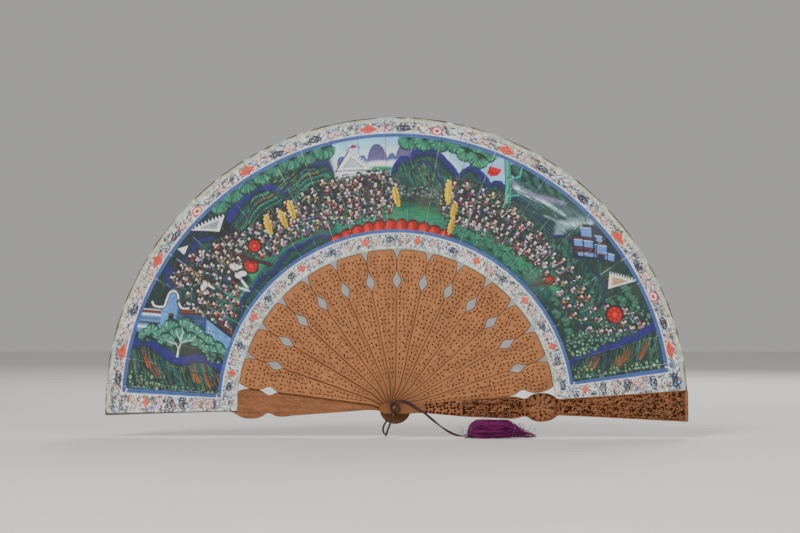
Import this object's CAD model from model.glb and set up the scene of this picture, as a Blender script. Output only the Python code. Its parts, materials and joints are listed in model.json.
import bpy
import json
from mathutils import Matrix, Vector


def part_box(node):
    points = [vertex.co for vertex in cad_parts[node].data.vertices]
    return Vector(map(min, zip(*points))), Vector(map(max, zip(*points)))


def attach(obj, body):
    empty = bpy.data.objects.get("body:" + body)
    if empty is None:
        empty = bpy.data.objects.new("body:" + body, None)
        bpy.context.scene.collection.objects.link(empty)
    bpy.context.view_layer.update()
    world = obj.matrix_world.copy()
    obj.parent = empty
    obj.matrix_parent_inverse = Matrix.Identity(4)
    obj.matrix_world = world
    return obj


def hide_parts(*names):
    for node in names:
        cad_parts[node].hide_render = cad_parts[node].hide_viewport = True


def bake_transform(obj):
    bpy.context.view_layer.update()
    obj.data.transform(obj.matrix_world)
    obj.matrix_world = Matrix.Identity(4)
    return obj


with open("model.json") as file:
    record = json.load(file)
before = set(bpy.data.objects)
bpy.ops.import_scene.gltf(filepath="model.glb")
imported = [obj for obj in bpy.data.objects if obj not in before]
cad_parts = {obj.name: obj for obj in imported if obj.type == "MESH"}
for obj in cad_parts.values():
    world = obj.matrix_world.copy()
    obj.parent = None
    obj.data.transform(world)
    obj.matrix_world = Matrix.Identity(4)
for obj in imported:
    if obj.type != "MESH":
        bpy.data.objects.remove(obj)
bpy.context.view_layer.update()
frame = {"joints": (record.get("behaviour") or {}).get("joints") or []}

import json
import math

import bpy
import numpy as np
from mathutils import Vector
from mathutils.geometry import delaunay_2d_cdt

# Folding hand fan, open and upright, seen from its painted front, which faces -Y.
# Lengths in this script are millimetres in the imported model's own frame, and MM turns them into
# Blender's metres. Angles about the rivet are degrees, from +X towards +Z.
MM = 0.001
STICKS = 14
GUARD_DEG = 0.5
PITCH_DEG = next(j for j in frame["joints"] if j["name"] == "fold_01")["range_deg"][1]
FACET_DEG = PITCH_DEG / 2  # the angle that one leaf panel spans
LEAF_INNER, LEAF_OUTER = 145.0, 266.0
LEAF_MIDDLE = 205.0  # the radius at which the unrolled picture has its true length
RIB_START, RIB_END = 141.0, 262.0
HEAD_REACH = 14.5  # from the rivet to the blades' round lower ends
PIVOT_HOLE = 1.6
BODIES = ["front_guard"] + [f"stick_{k:02d}" for k in range(1, STICKS + 1)] + ["rear_guard"]
rng = np.random.default_rng(1860)


def blade_deg(k):
    return GUARD_DEG + PITCH_DEG * k


def faces_y(node):
    """A node's front and back in y, in millimetres."""
    low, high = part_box(node)
    return low.y / MM, high.y / MM


def polar(radius, degrees, y):
    """Points at a radius and an angle about the rivet."""
    angle = np.radians(degrees)
    return np.stack(np.broadcast_arrays(radius * np.cos(angle), y, radius * np.sin(angle)), -1)

def oval(x, y, length, width, turn):
    """How far out points lie in a turned oval: 0 in its middle and 1 on its edge."""
    c, d = math.cos(math.radians(turn)), math.sin(math.radians(turn))
    return np.hypot((x * c + y * d) / (length / 2), (y * c - x * d) / (width / 2))

def along_line(a, b, x, y):
    """Each point's share of the way from a to b, and its gap from the line between them."""
    d = b - a
    share = np.clip(((x - a[0]) * d[0] + (y - a[1]) * d[1]) / max(d @ d, 1e-9), 0, 1)
    return share, np.hypot(x - a[0] - share * d[0], y - a[1] - share * d[1])

def run_along(path):
    """How far along a path each of its points lies."""
    return np.concatenate([[0], np.cumsum(np.linalg.norm(np.diff(path, axis=0), axis=1))])

def headings(path):
    ahead = np.gradient(path, axis=0)
    return ahead / np.linalg.norm(ahead, axis=1)[:, None]


# ---------------------------------------------------------------- camera, stage and light

FRAME_WIDTH = 730.8  # millimetres of the fan's plane that the picture's width takes in
VIEW_X, VIEW_Z = 4.1, 129.3  # the picture's middle
CAMERA_Z = 96.0
CAMERA_DISTANCE = 2300.0
FAN_PLANE_Y = -16.0
SENSOR = 36.0
FLOOR_Z = -26.5


def make_camera():
    data = bpy.data.cameras.new("camera")
    data.sensor_width = SENSOR
    data.lens = SENSOR * CAMERA_DISTANCE / FRAME_WIDTH
    camera = bpy.data.objects.new("camera", data)
    bpy.context.scene.collection.objects.link(camera)
    camera.location = Vector((VIEW_X, FAN_PLANE_Y - CAMERA_DISTANCE, CAMERA_Z)) * MM
    target = Vector((VIEW_X, FAN_PLANE_Y, VIEW_Z)) * MM
    camera.rotation_euler = (target - camera.location).to_track_quat("-Z", "Y").to_euler()
    bpy.context.scene.camera = camera


def area_light(name, location, target, size, watts, colour=(1, 1, 1)):
    data = bpy.data.lights.new(name, "AREA")
    data.shape = "DISK"
    data.size = size
    data.energy = watts
    data.color = colour
    light = bpy.data.objects.new(name, data)
    bpy.context.scene.collection.objects.link(light)
    light.location = location
    aim = Vector(target) - Vector(location)
    light.rotation_euler = aim.to_track_quat("-Z", "Y").to_euler()


def make_lights():
    centre = (0.0, 0.0, 0.12)
    area_light("key", (-0.9, -1.7, 1.7), centre, 1.1, 44)
    area_light("fill", (1.3, -1.8, 0.9), centre, 1.4, 13, (1.0, 0.98, 0.95))
    area_light("back", (0.5, 1.6, 1.2), centre, 1.2, 18)
    world = bpy.data.worlds.new("studio")
    bpy.context.scene.world = world
    world.use_nodes = True
    background = world.node_tree.nodes["Background"]
    background.inputs["Color"].default_value = (0.93, 0.92, 0.9, 1)
    background.inputs["Strength"].default_value = 0.42


# ---------------------------------------------------------------- meshes

def make_object(name, points, faces, material, smooth=True):
    """A mesh object from points in millimetres."""
    mesh = bpy.data.meshes.new(name)
    mesh.from_pydata((np.asarray(points, float) * MM).tolist(), [], [list(f) for f in faces])
    mesh.materials.append(material)
    mesh.polygons.foreach_set("use_smooth", [smooth] * len(mesh.polygons))
    mesh.update()
    piece = bpy.data.objects.new(name, mesh)
    bpy.context.scene.collection.objects.link(piece)
    return piece


def add_colours(piece, name, rgb):
    rgba = np.ones((len(rgb), 4), np.float32)
    rgba[:, :3] = rgb
    attribute = piece.data.color_attributes.new(name, "FLOAT_COLOR", "POINT")
    attribute.data.foreach_set("color", rgba.ravel())


def add_vectors(piece, name, vectors):
    attribute = piece.data.attributes.new(name, "FLOAT_VECTOR", "POINT")
    attribute.data.foreach_set("vector", np.asarray(vectors, np.float32).ravel())


def add_values(piece, name, values, domain="POINT"):
    attribute = piece.data.attributes.new(name, "FLOAT", domain)
    attribute.data.foreach_set("value", np.asarray(values, np.float32).ravel())


def settle(piece, body, node):
    """Lets a piece ride a body, in place of a CAD node, with its material in a named slot."""
    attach(piece, body)
    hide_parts(node)

def grid_faces(rows, columns, start=0, flip=False):
    """Quads between the points of a rows by columns grid."""
    r, c = np.meshgrid(np.arange(rows - 1), np.arange(columns - 1), indexing="ij")
    a = (start + r * columns + c).ravel()
    quads = np.stack([a, a + 1, a + columns + 1, a + columns], 1)
    return quads[:, ::-1] if flip else quads


def tube_mesh(path, radii, sides, shape=None):
    """Points and faces of a closed tube along a path. shape gives each ring's own outline."""
    path = np.asarray(path, float)
    ahead = headings(path)
    up = np.array([0.0, 0.0, 1.0])
    if abs(ahead[0] @ up) > 0.9:
        up = np.array([0.0, 1.0, 0.0])
    across, rings = None, []
    turn = np.linspace(0, 2 * np.pi, sides, endpoint=False)
    radii = np.broadcast_to(radii, len(path))
    for i, (p, t) in enumerate(zip(path, ahead)):
        side = np.cross(t, up) if across is None else across - t * (across @ t)
        across = side / np.linalg.norm(side)
        rise = np.cross(across, t)
        r = radii[i] * (shape(i, turn) if shape else 1.0)
        rings.append(p + np.outer(r * np.cos(turn), across) + np.outer(r * np.sin(turn), rise))
    points = np.concatenate(rings + [path[:1], path[-1:]])
    n = len(path)
    faces = []
    for i in range(n - 1):
        for j in range(sides):
            a, b = i * sides + j, i * sides + (j + 1) % sides
            faces.append((a, a + sides, b + sides, b))
    first, last = n * sides, n * sides + 1
    for j in range(sides):
        faces.append((first, j, (j + 1) % sides))
        faces.append((last, (n - 1) * sides + (j + 1) % sides, (n - 1) * sides + j))
    return points, faces


def join_parts(parts):
    """One list of points and one of faces from several."""
    points, faces, start = [], [], 0
    for part_points, part_faces in parts:
        points.append(np.asarray(part_points, float))
        faces += [tuple(i + start for i in face) for face in part_faces]
        start += len(part_points)
    return np.concatenate(points), faces


def smooth_path(points, count):
    """Evenly spaced points on a Catmull-Rom curve through the given ones."""
    p = np.asarray(points, float)
    p = np.vstack([2 * p[0] - p[1], p, 2 * p[-1] - p[-2]])
    fine = []
    for i in range(1, len(p) - 2):
        t = np.linspace(0, 1, 24, endpoint=False)[:, None]
        a, b, c, d = p[i - 1:i + 3]
        fine.append(0.5 * (2 * b + (c - a) * t + (2 * a - 5 * b + 4 * c - d) * t * t
                           + (3 * b - a - 3 * c + d) * t ** 3))
    fine = np.concatenate(fine + [p[-2:-1]])
    run = run_along(fine)
    at = np.linspace(0, run[-1], count)
    return np.stack([np.interp(at, run, column) for column in fine.T], 1)


# ---------------------------------------------------------------- materials

class Nodes:
    """A short way to write one material's nodes."""

    def __init__(self, name, roughness=0.5, metallic=0.0):
        self.material = bpy.data.materials.new(name)
        self.material.use_nodes = True
        self.tree = self.material.node_tree
        self.shader = self.tree.nodes["Principled BSDF"]
        self.shader.inputs["Roughness"].default_value = roughness
        self.shader.inputs["Metallic"].default_value = metallic

    def node(self, kind, inputs=None, **settings):
        node = self.tree.nodes.new(kind)
        for key, value in settings.items():
            setattr(node, key, value)
        for key, value in (inputs or {}).items():
            if isinstance(value, bpy.types.NodeSocket):
                self.tree.links.new(value, node.inputs[key])
            else:
                node.inputs[key].default_value = value
        return node

    def attribute(self, name, output="Vector"):
        return self.node("ShaderNodeAttribute", attribute_name=name).outputs[output]

    def stretched(self, vector, scale):
        return self.node("ShaderNodeMapping", {"Vector": vector, "Scale": scale}).outputs[0]

    def noise(self, vector, scale, detail, rough=0.55):
        return self.node("ShaderNodeTexNoise", {
            "Vector": vector, "Scale": scale, "Detail": detail, "Roughness": rough,
        }).outputs["Fac"]

    def ramp(self, value, stops):
        ramp = self.node("ShaderNodeValToRGB", {"Fac": value})
        elements = ramp.color_ramp.elements
        while len(elements) < len(stops):
            elements.new(0.5)
        for element, (place, colour) in zip(elements, stops):
            element.position = place
            element.color = (*colour, 1)
        return ramp.outputs["Color"]

    def grey_ramp(self, value, stops):
        return self.ramp(value, [(place, (v, v, v)) for place, v in stops])

    def mix(self, share, first, second):
        mix = self.node("ShaderNodeMix", data_type="RGBA")
        for key, value in (("Factor", share), ("A", first), ("B", second)):
            socket = next(s for s in mix.inputs if s.name == key and s.enabled)
            if isinstance(value, tuple):
                socket.default_value = (*value, 1)
            else:
                self.tree.links.new(value, socket)
        return next(s for s in mix.outputs if s.enabled)

    def maths(self, operation, first, second):
        return self.node("ShaderNodeMath", {0: first, 1: second}, operation=operation).outputs[0]

    def finish(self, colour, roughness, bump, bump_mm):
        links = self.tree.links
        links.new(colour, self.shader.inputs["Base Color"])
        links.new(roughness, self.shader.inputs["Roughness"])
        node = self.node("ShaderNodeBump", {"Height": bump, "Distance": bump_mm * MM})
        links.new(node.outputs["Normal"], self.shader.inputs["Normal"])
        return self.material


# The standard view transform greys strong colours and holds back bright ones. surface_colour
# allows for that: it gives the surface colour that shows as a wanted one in even light. These are
# the constants of a known fit to that transform, and the range that a real surface keeps to.
VIEW_MIX = np.array([[0.842, 0.078, 0.079], [0.042, 0.878, 0.079], [0.042, 0.078, 0.879]])
VIEW_DARKEST, VIEW_STOPS = -12.474, 16.5
VIEW_CURVE = (15.5, -40.14, 31.96, -6.868, 0.4298, 0.1191, -0.00232)
SURFACE_DARKEST, SURFACE_LIGHTEST = 0.002, 0.86


def surface_colour(rgb):
    """Surface colours for display values from 0 to 255, one row of three each."""
    shown = np.asarray(rgb, float) / 255 @ VIEW_MIX.T
    stops = np.linspace(0.0, 1.0, 2000)
    reached = np.maximum.accumulate(np.polyval(VIEW_CURVE, stops))
    light = 2 ** (np.interp(shown, reached, stops) * VIEW_STOPS + VIEW_DARKEST)
    return np.clip(light @ np.linalg.inv(VIEW_MIX).T, SURFACE_DARKEST, SURFACE_LIGHTEST)


def linear(r, g, b):
    return tuple(float(v) for v in surface_colour((r, g, b)))


def wood(name, dark, middle, light):
    """Straight-grained wood. The attribute grain holds each point's place along and across the
    blade in millimetres, and a third number that sets blades apart."""
    m = Nodes(name)
    grain = m.attribute("grain")
    figure = m.noise(m.stretched(grain, (0.02, 0.35, 1.0)), 1.0, 4)
    fibres = m.noise(m.stretched(grain, (0.16, 3.2, 1.0)), 1.0, 5, 0.65)
    pores = m.noise(m.stretched(grain, (0.5, 6.0, 1.0)), 1.0, 2)
    blotch = m.noise(m.stretched(grain, (0.05, 0.08, 1.0)), 1.0, 2)
    colour = m.ramp(figure, [(0.28, dark), (0.5, middle), (0.72, light)])
    fleck = m.noise(m.stretched(grain, (0.45, 0.8, 1.0)), 1.0, 3, 0.6)
    for value, stops, tone in (
            (fibres, [(0.4, 0.0), (0.75, 0.4)], dark), (pores, [(0.62, 0.0), (0.75, 0.4)], dark),
            (fleck, [(0.42, 0.0), (0.7, 0.6)], dark), (fleck, [(0.3, 0.6), (0.52, 0.0)], light),
            (blotch, [(0.4, 0.0), (0.65, 0.35)], light)):
        colour = m.mix(m.grey_ramp(value, stops), colour, tone)
    along = m.node("ShaderNodeSeparateXYZ", {0: grain}).outputs[0]
    handled = m.grey_ramp(m.maths("DIVIDE", along, 60.0), [(0.0, 0.8), (0.62, 0.0)])
    colour = m.mix(handled, colour, (0.17, 0.068, 0.014))
    pit = m.attribute("pit", "Fac")
    colour = m.mix(pit, colour, linear(66, 37, 19))
    bare = m.maths("SUBTRACT", 0.45, m.maths("MULTIPLY", pit, 0.43))
    m.tree.links.new(bare, m.shader.inputs["Specular IOR Level"])
    gloss = m.grey_ramp(fibres, [(0.3, 0.42), (0.75, 0.64)])
    return m.finish(colour, gloss, fibres, 0.08)


def painted_paper(name):
    """The leaf: the attribute paint holds its colours, and worn paint is a little rougher."""
    m = Nodes(name, 0.6)
    place = m.node("ShaderNodeTexCoord").outputs["Object"]
    paint = m.attribute("paint", "Color")
    speckle = m.noise(place, 900, 4, 0.6)
    stain = m.noise(place, 30, 3)
    colour = m.mix(m.grey_ramp(speckle, [(0.35, 0.16), (0.62, 0.0)]), paint, (0.03, 0.03, 0.035))
    colour = m.mix(m.grey_ramp(speckle, [(0.6, 0.0), (0.8, 0.2)]), colour, (0.8, 0.78, 0.7))
    colour = m.mix(m.grey_ramp(stain, [(0.55, 0.0), (0.8, 0.12)]), colour, (0.35, 0.27, 0.16))
    gloss = m.grey_ramp(speckle, [(0.3, 0.42), (0.7, 0.68)])
    fibre = m.noise(place, 1500, 3, 0.7)
    return m.finish(colour, gloss, fibre, 0.05)


def aged_metal(name, dark, middle, light, gloss_low=0.46):
    m = Nodes(name, 0.5, 0.85)
    place = m.node("ShaderNodeTexCoord").outputs["Object"]
    tarnish = m.noise(place, 420, 5, 0.6)
    pits = m.noise(place, 1700, 2)
    colour = m.ramp(tarnish, [(0.3, dark), (0.52, middle), (0.75, light)])
    gloss = m.grey_ramp(tarnish, [(0.3, 0.68), (0.75, gloss_low)])
    return m.finish(colour, gloss, pits, 0.05)


def silk(name, dark, light):
    """Dyed silk. The attribute thread holds each thread's own shade, and the run along it."""
    m = Nodes(name, 0.42)
    thread = m.attribute("thread")
    shade = m.node("ShaderNodeSeparateXYZ", {0: thread}).outputs[0]
    twist = m.noise(m.stretched(thread, (3.0, 1.4, 1.0)), 1.0, 3)
    colour = m.ramp(m.maths("ADD", m.maths("MULTIPLY", shade, 0.6), m.maths("MULTIPLY", twist, 0.5)),
                    [(0.25, dark), (0.85, light)])
    m.shader.inputs["Sheen Weight"].default_value = 0.06
    m.shader.inputs["Specular IOR Level"].default_value = 0.25
    m.shader.inputs["Sheen Roughness"].default_value = 0.35
    gloss = m.grey_ramp(twist, [(0.3, 0.36), (0.7, 0.55)])
    return m.finish(colour, gloss, twist, 0.04)


def pale_floor():
    m = Nodes("pale_floor", 0.75)
    place = m.node("ShaderNodeTexCoord").outputs["Object"]
    mottle = m.noise(place, 6, 3)
    colour = m.ramp(mottle, [(0.3, (0.74, 0.72, 0.69)), (0.7, (0.78, 0.76, 0.73))])
    m.tree.links.new(colour, m.shader.inputs["Base Color"])
    return m.material


def make_floor():
    half = 4000.0
    points = [(-half, -half, FLOOR_Z), (half, -half, FLOOR_Z), (half, half, FLOOR_Z),
              (-half, half, FLOOR_Z)]
    make_object("floor", points, [(0, 1, 2, 3)], pale_floor())


make_camera()

# ---------------------------------------------------------------- cord and tassel

STRAND_R = 0.62
TASSEL_Y = -37.5
HITCH_Y = -29.45  # the back of the cord's turn round the rivet
GUARD_REST_Y = -29.35  # the cord's middle where it lies on the front guard
TASSEL_FLOOR = -26.4
CORD_ROUTE = [
    (-5.1, HITCH_Y - 0.9, 2.9),
    (-3.0, HITCH_Y - 0.9, 5.6),
    (0.8, HITCH_Y - 0.9, 7.1),
    (5.5, HITCH_Y - 0.5, 7.2),
    (10.5, GUARD_REST_Y - 0.3, 5.9),
    (16.5, GUARD_REST_Y, 2.7),
    (22.5, GUARD_REST_Y, -1.4),
    (28.5, GUARD_REST_Y - 0.3, -5.7),
    (34.3, GUARD_REST_Y - 1.2, -10.5),
    (39.8, GUARD_REST_Y - 2.6, -14.9),
    (45.2, GUARD_REST_Y - 4.3, -18.7),
    (50.6, GUARD_REST_Y - 6.1, -21.7),
    (56.0, TASSEL_Y + 1, -23.7),
    (61.0, TASSEL_Y, -24.4),
]
CORD_INTO_TASSEL = [(63.5, TASSEL_Y, -24.1), (68.0, TASSEL_Y, -22.8), (75.0, TASSEL_Y, -19.5)]
PLUM = ((0.018, 0.006, 0.014), (0.1, 0.026, 0.07))
MAGENTA = ((0.026, 0.001, 0.017), (0.25, 0.006, 0.15))


LAY_MM = 2.2  # the length in which a strand's three yarns turn once

def strand_threads(run, sides):
    """The attribute thread of a strand of three yarns: shade, place along and place across, with
    two more rows for the tube's end points."""
    across = np.tile(np.arange(sides) / sides, len(run))
    along = np.repeat(run, sides)
    shade = 0.45 + 0.4 * np.cos(3 * 2 * np.pi * across - 2 * math.pi * along / LAY_MM)
    return np.concatenate([np.stack([shade, along, across], 1), [[0.4, 0.0, 0.0]] * 2])

def twisted_strands(path, offset, strand_r, turn_mm, sides):
    """Two strands that wind slowly round each other along a path."""
    ahead = headings(path)
    side = np.cross(ahead, (0.0, -1.0, 0.0))
    side /= np.linalg.norm(side, axis=1)[:, None]
    rise = np.cross(side, ahead)
    run = run_along(path)
    parts, threads = [], []
    for start in (0.35, 0.35 + math.pi):
        wind = (start + 2 * math.pi * run / turn_mm)[:, None]
        strand = path + offset * (np.cos(wind) * side + np.sin(wind) * rise)

        def lay(i, turn):
            return 1 + 0.09 * np.cos(3 * turn - 2 * math.pi * run[i] / LAY_MM)

        parts.append(tube_mesh(strand, strand_r, sides, lay))
        threads.append(strand_threads(run, sides))
    points, faces = join_parts(parts)
    return points, faces, np.concatenate(threads)


def make_cord(silk_material):
    path = smooth_path(CORD_ROUTE + CORD_INTO_TASSEL, 240)
    points, faces, threads = twisted_strands(path, STRAND_R * 0.93, STRAND_R, 46.0, 12)
    cord = make_object("silk_cord", points, faces, silk_material)
    add_vectors(cord, "thread", threads)
    settle(cord, "front_guard", "cord")
    return cord, path, float(run_along(path)[-1])


THREAD_STEPS = 26

def thread_bundle(name, routes, radii, sides, material):
    """Many loose threads in one mesh, each with a shade of its own."""
    parts, threads = [], []
    for route, radius in zip(routes, radii):
        path = smooth_path(route, THREAD_STEPS)
        parts.append(tube_mesh(path, radius * np.linspace(1, 0.75, THREAD_STEPS), sides))
        shade = rng.uniform(0.05, 1.0)
        along = np.repeat(np.linspace(0, 12, THREAD_STEPS), sides)
        thread = np.stack([np.full_like(along, shade), along, np.full_like(along, shade * 7)], 1)
        threads.append(np.concatenate([thread, thread[:1], thread[-1:]]))
    points, faces = join_parts(parts)
    bundle = make_object(name, points, faces, material)
    add_vectors(bundle, "thread", np.concatenate(threads))
    return bundle


def tassel_half_height(x):
    """Half the height of the lying tassel at x, from its knot to its thin tail."""
    return np.interp(x, (65, 67, 70, 76, 88, 102, 108, 113, 122, 129),
                     (1.2, 4.2, 7.2, 8.4, 8.6, 8.2, 6.6, 4.4, 2.8, 1.5))


def tassel_threads(count):
    """Threads that leave the knot, fill the tassel's body in loose curls and thin out in a tail."""
    routes, radii = [], []
    for _ in range(count):
        lane = rng.uniform(0, 2 * math.pi)
        depth = math.sqrt(rng.uniform(0.05, 1.0))
        end = rng.choice([rng.uniform(98, 110), rng.uniform(104, 116), rng.uniform(112, 128)],
                         p=[0.55, 0.3, 0.15])
        curl, phase = rng.uniform(0.3, 1.5), rng.uniform(0, 2 * math.pi)
        xs = np.linspace(65.5, end, 9)
        half = tassel_half_height(xs)
        wave = curl * np.sin(np.linspace(0, rng.uniform(4, 11), 9) + phase)
        high = depth * math.sin(lane) * (half - 0.4) + wave * (half > 3)
        deep = depth * math.cos(lane) * (half - 0.2) * 0.95 + curl * np.cos(wave * 2 + phase)
        high = np.clip(high, -half + 0.3, half)
        low = np.full(9, TASSEL_FLOOR + 0.35)
        routes.append(np.stack([xs, TASSEL_Y + deep, low + half + high], 1))
        radii.append(rng.uniform(0.2, 0.34))
    return routes, radii


def looped_threads(count):
    """Threads that turn back on themselves at the knot's end, as a skein does."""
    routes, radii = [], []
    for _ in range(count):
        size = rng.uniform(2.0, 7.6)
        middle_x = rng.uniform(72.5, 76)
        middle_z = TASSEL_FLOOR + 8.4 + rng.uniform(-0.6, 0.6)
        y = TASSEL_Y + rng.uniform(-8.4, -2.5) * (1.1 - 0.06 * size)
        turn = np.linspace(math.pi * 0.46, math.pi * 1.54, 7)
        bend = np.stack([middle_x + 0.9 * size * np.cos(turn), np.full(7, y),
                         middle_z + size * np.sin(turn)], 1)
        far = rng.uniform(88, 106)
        tails = []
        for sign in (1, -1):
            drift = rng.uniform(-1.5, 1.5, 3)
            xs = np.linspace(middle_x + 5, far, 3)
            zs = np.clip(middle_z + sign * size * np.array([0.96, 0.85, 0.7]) + drift,
                         TASSEL_FLOOR + 0.4, TASSEL_FLOOR + 16.6)
            tails.append(np.stack([xs, y + rng.uniform(-0.8, 0.8, 3), zs], 1))
        routes.append(np.concatenate([tails[0][::-1], bend, tails[1]]))
        radii.append(rng.uniform(0.24, 0.36))
    return routes, radii


def stray_threads(count):
    """Fine threads that stand clear of the tassel."""
    routes, radii = [], []
    for _ in range(count):
        x, high = rng.choice([(rng.uniform(57, 72), 9.0), (rng.uniform(70, 100), 15.5),
                              (rng.uniform(104, 124), 9.0)])
        z = TASSEL_FLOOR + rng.uniform(high - 8.5, high)
        reach = rng.uniform(4, 10)
        lean = rng.uniform(-1.0, 1.0)
        y = TASSEL_Y + rng.uniform(-6, 5)
        t = np.linspace(0, 1, 6)
        xs = x + reach * lean * t + rng.uniform(-1, 1, 6) * 0.6
        zs = np.clip(z + reach * (1 - abs(lean) * 0.6) * np.sin(t * rng.uniform(1.6, 3.1)),
                     TASSEL_FLOOR + 0.25, TASSEL_FLOOR + 16.5)
        routes.append(np.stack([xs, y + 2 * (t - 0.5), zs], 1))
        radii.append(rng.uniform(0.08, 0.15))
    return routes, radii


def make_tassel(silk_material, stray_material, knot_material):
    body_routes, body_radii = tassel_threads(380)
    loop_routes, loop_radii = looped_threads(170)
    skirt = thread_bundle("tassel_threads", body_routes + loop_routes, body_radii + loop_radii,
                          5, silk_material)
    strays = thread_bundle("tassel_stray_threads", *stray_threads(110), 4, stray_material)
    xs = np.array([66.0, 68, 71, 76, 84, 94, 103, 108, 112])
    half = tassel_half_height(xs) - 1.2
    path = np.stack([xs, np.full_like(xs, TASSEL_Y), TASSEL_FLOOR + 0.35 + half + 0.6], 1)
    core_path = smooth_path(path, 60)
    core_half = np.interp(core_path[:, 0], xs, np.maximum(half, 0.4))
    points, faces = tube_mesh(core_path, core_half, 40,
                              lambda i, turn: 1 + 0.05 * np.cos(11 * turn + 0.7 * i))
    core = make_object("tassel_core", points, faces, silk_material)
    run = core_path[:, 0]
    across = np.tile(np.arange(40), len(core_path))
    threads = np.stack([0.1 + 0.25 * (across % 4 == 0), np.repeat(run, 40) * 0.5, across * 0.9], 1)
    add_vectors(core, "thread", np.concatenate([threads, threads[:1], threads[-1:]]))
    knot = make_knot(knot_material)
    for piece in (skirt, strays, core, knot):
        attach(piece, "front_guard")
    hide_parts("tassel_skirt")
    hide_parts("tassel_knot")
    return [skirt, strays, core, knot]


def make_knot(material):
    """A cord wound tightly round the tassel's neck."""
    turns, per_turn = 3.4, 22
    t = np.linspace(0, 1, int(turns * per_turn))
    wind = 2 * math.pi * turns * t
    swell = 1.15 + 0.5 * np.sin(math.pi * t)
    path = np.stack([61.9 + 4.2 * t, TASSEL_Y + swell * np.cos(wind),
                     TASSEL_FLOOR + 2.25 + swell * np.sin(wind)], 1)
    points, faces = tube_mesh(path, 0.62, 10)
    inner, inner_faces = tube_mesh(
        np.stack([np.linspace(62.2, 66.6, 12), np.full(12, TASSEL_Y),
                  np.full(12, TASSEL_FLOOR + 2.25)], 1), 1.3, 14)
    points, faces = join_parts([(points, faces), (inner, inner_faces)])
    knot = make_object("tassel_binding", points, faces, material)
    add_vectors(knot, "thread", np.stack([0.3 + 0.3 * np.sin(points[:, 0] * 5), points[:, 0],
                                          points[:, 2]], 1))
    return knot


plum_silk = silk("plum_silk", *PLUM)
magenta_silk = silk("magenta_silk", *MAGENTA)
stray_silk = silk("faded_silk", (0.09, 0.04, 0.09), (0.35, 0.22, 0.33))
knot_silk = silk("knot_silk", (0.12, 0.07, 0.1), (0.55, 0.45, 0.48))
cord, cord_path, cord_length = make_cord(plum_silk)
tassel_pieces = make_tassel(magenta_silk, stray_silk, knot_silk)

# ---------------------------------------------------------------- rivet, washers and loop

LOOP_DEG = 250.0  # where the bail hangs
LOOP_REACH = 25.6
WIRE_THIN, WIRE_THICK = 0.6, 0.95  # the wire's radius at its eyes and along its length
EYE_R, EYE_THICK = 3.2, 1.4
PIN_R, HEAD_R, HEAD_DEEP = 1.5, 3.0, 0.9
WASHER_R = 4.8
HITCH_R = 3.1  # of the cord's turn round the rivet
LATHE_SIDES = 48


def lathe(profile):
    """A closed ring of revolution about the rivet from (radius, y) points."""
    turn = np.linspace(0, 360, LATHE_SIDES, endpoint=False)
    points = np.concatenate([polar(radius, turn, y) for radius, y in profile])
    faces = []
    for i in range(len(profile)):
        a, b = i * LATHE_SIDES, (i + 1) % len(profile) * LATHE_SIDES
        for j in range(LATHE_SIDES):
            k = (j + 1) % LATHE_SIDES
            faces.append((a + j, b + j, b + k, a + k))
    return points, faces

def rounded_washer(outer, inner, front, back, edge=0.22):
    return lathe([(inner, back - edge), (inner + edge, back), (outer - edge, back),
                  (outer, back - edge), (outer, front + edge), (outer - edge, front),
                  (inner + edge, front), (inner, front + edge)])


def make_rivet(metal):
    """The pin and its two hammered heads."""
    front, back = faces_y("rivet")
    bulge = [(0.02, 0.0), (0.9, 0.03), (1.7, 0.16), (2.4, 0.4), (2.85, 0.66), (HEAD_R, HEAD_DEEP)]
    profile = [(r, back - d) for r, d in bulge] + [(PIN_R, back - HEAD_DEEP)]
    profile += [(PIN_R, front + HEAD_DEEP)] + [(r, front + d) for r, d in bulge[::-1]]
    points, faces = lathe(profile)
    hammer = 0.06 * np.sin(points[:, 0] * 3.1) * np.sin(points[:, 2] * 2.7)
    points[:, 1] += np.where(np.abs(points[:, 1] - front) < 0.6, np.abs(hammer), 0)
    rivet = make_object("rivet_pin", points, faces, metal)
    settle(rivet, "front_guard", "rivet")


def make_washers(metal):
    for node, piece_name in (("washer_front", "washer_before"), ("washer_rear", "washer_behind")):
        front, back = faces_y(node)
        washer = make_object(piece_name, *rounded_washer(WASHER_R, PIVOT_HOLE, front, back), metal)
        settle(washer, "front_guard", node)


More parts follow.
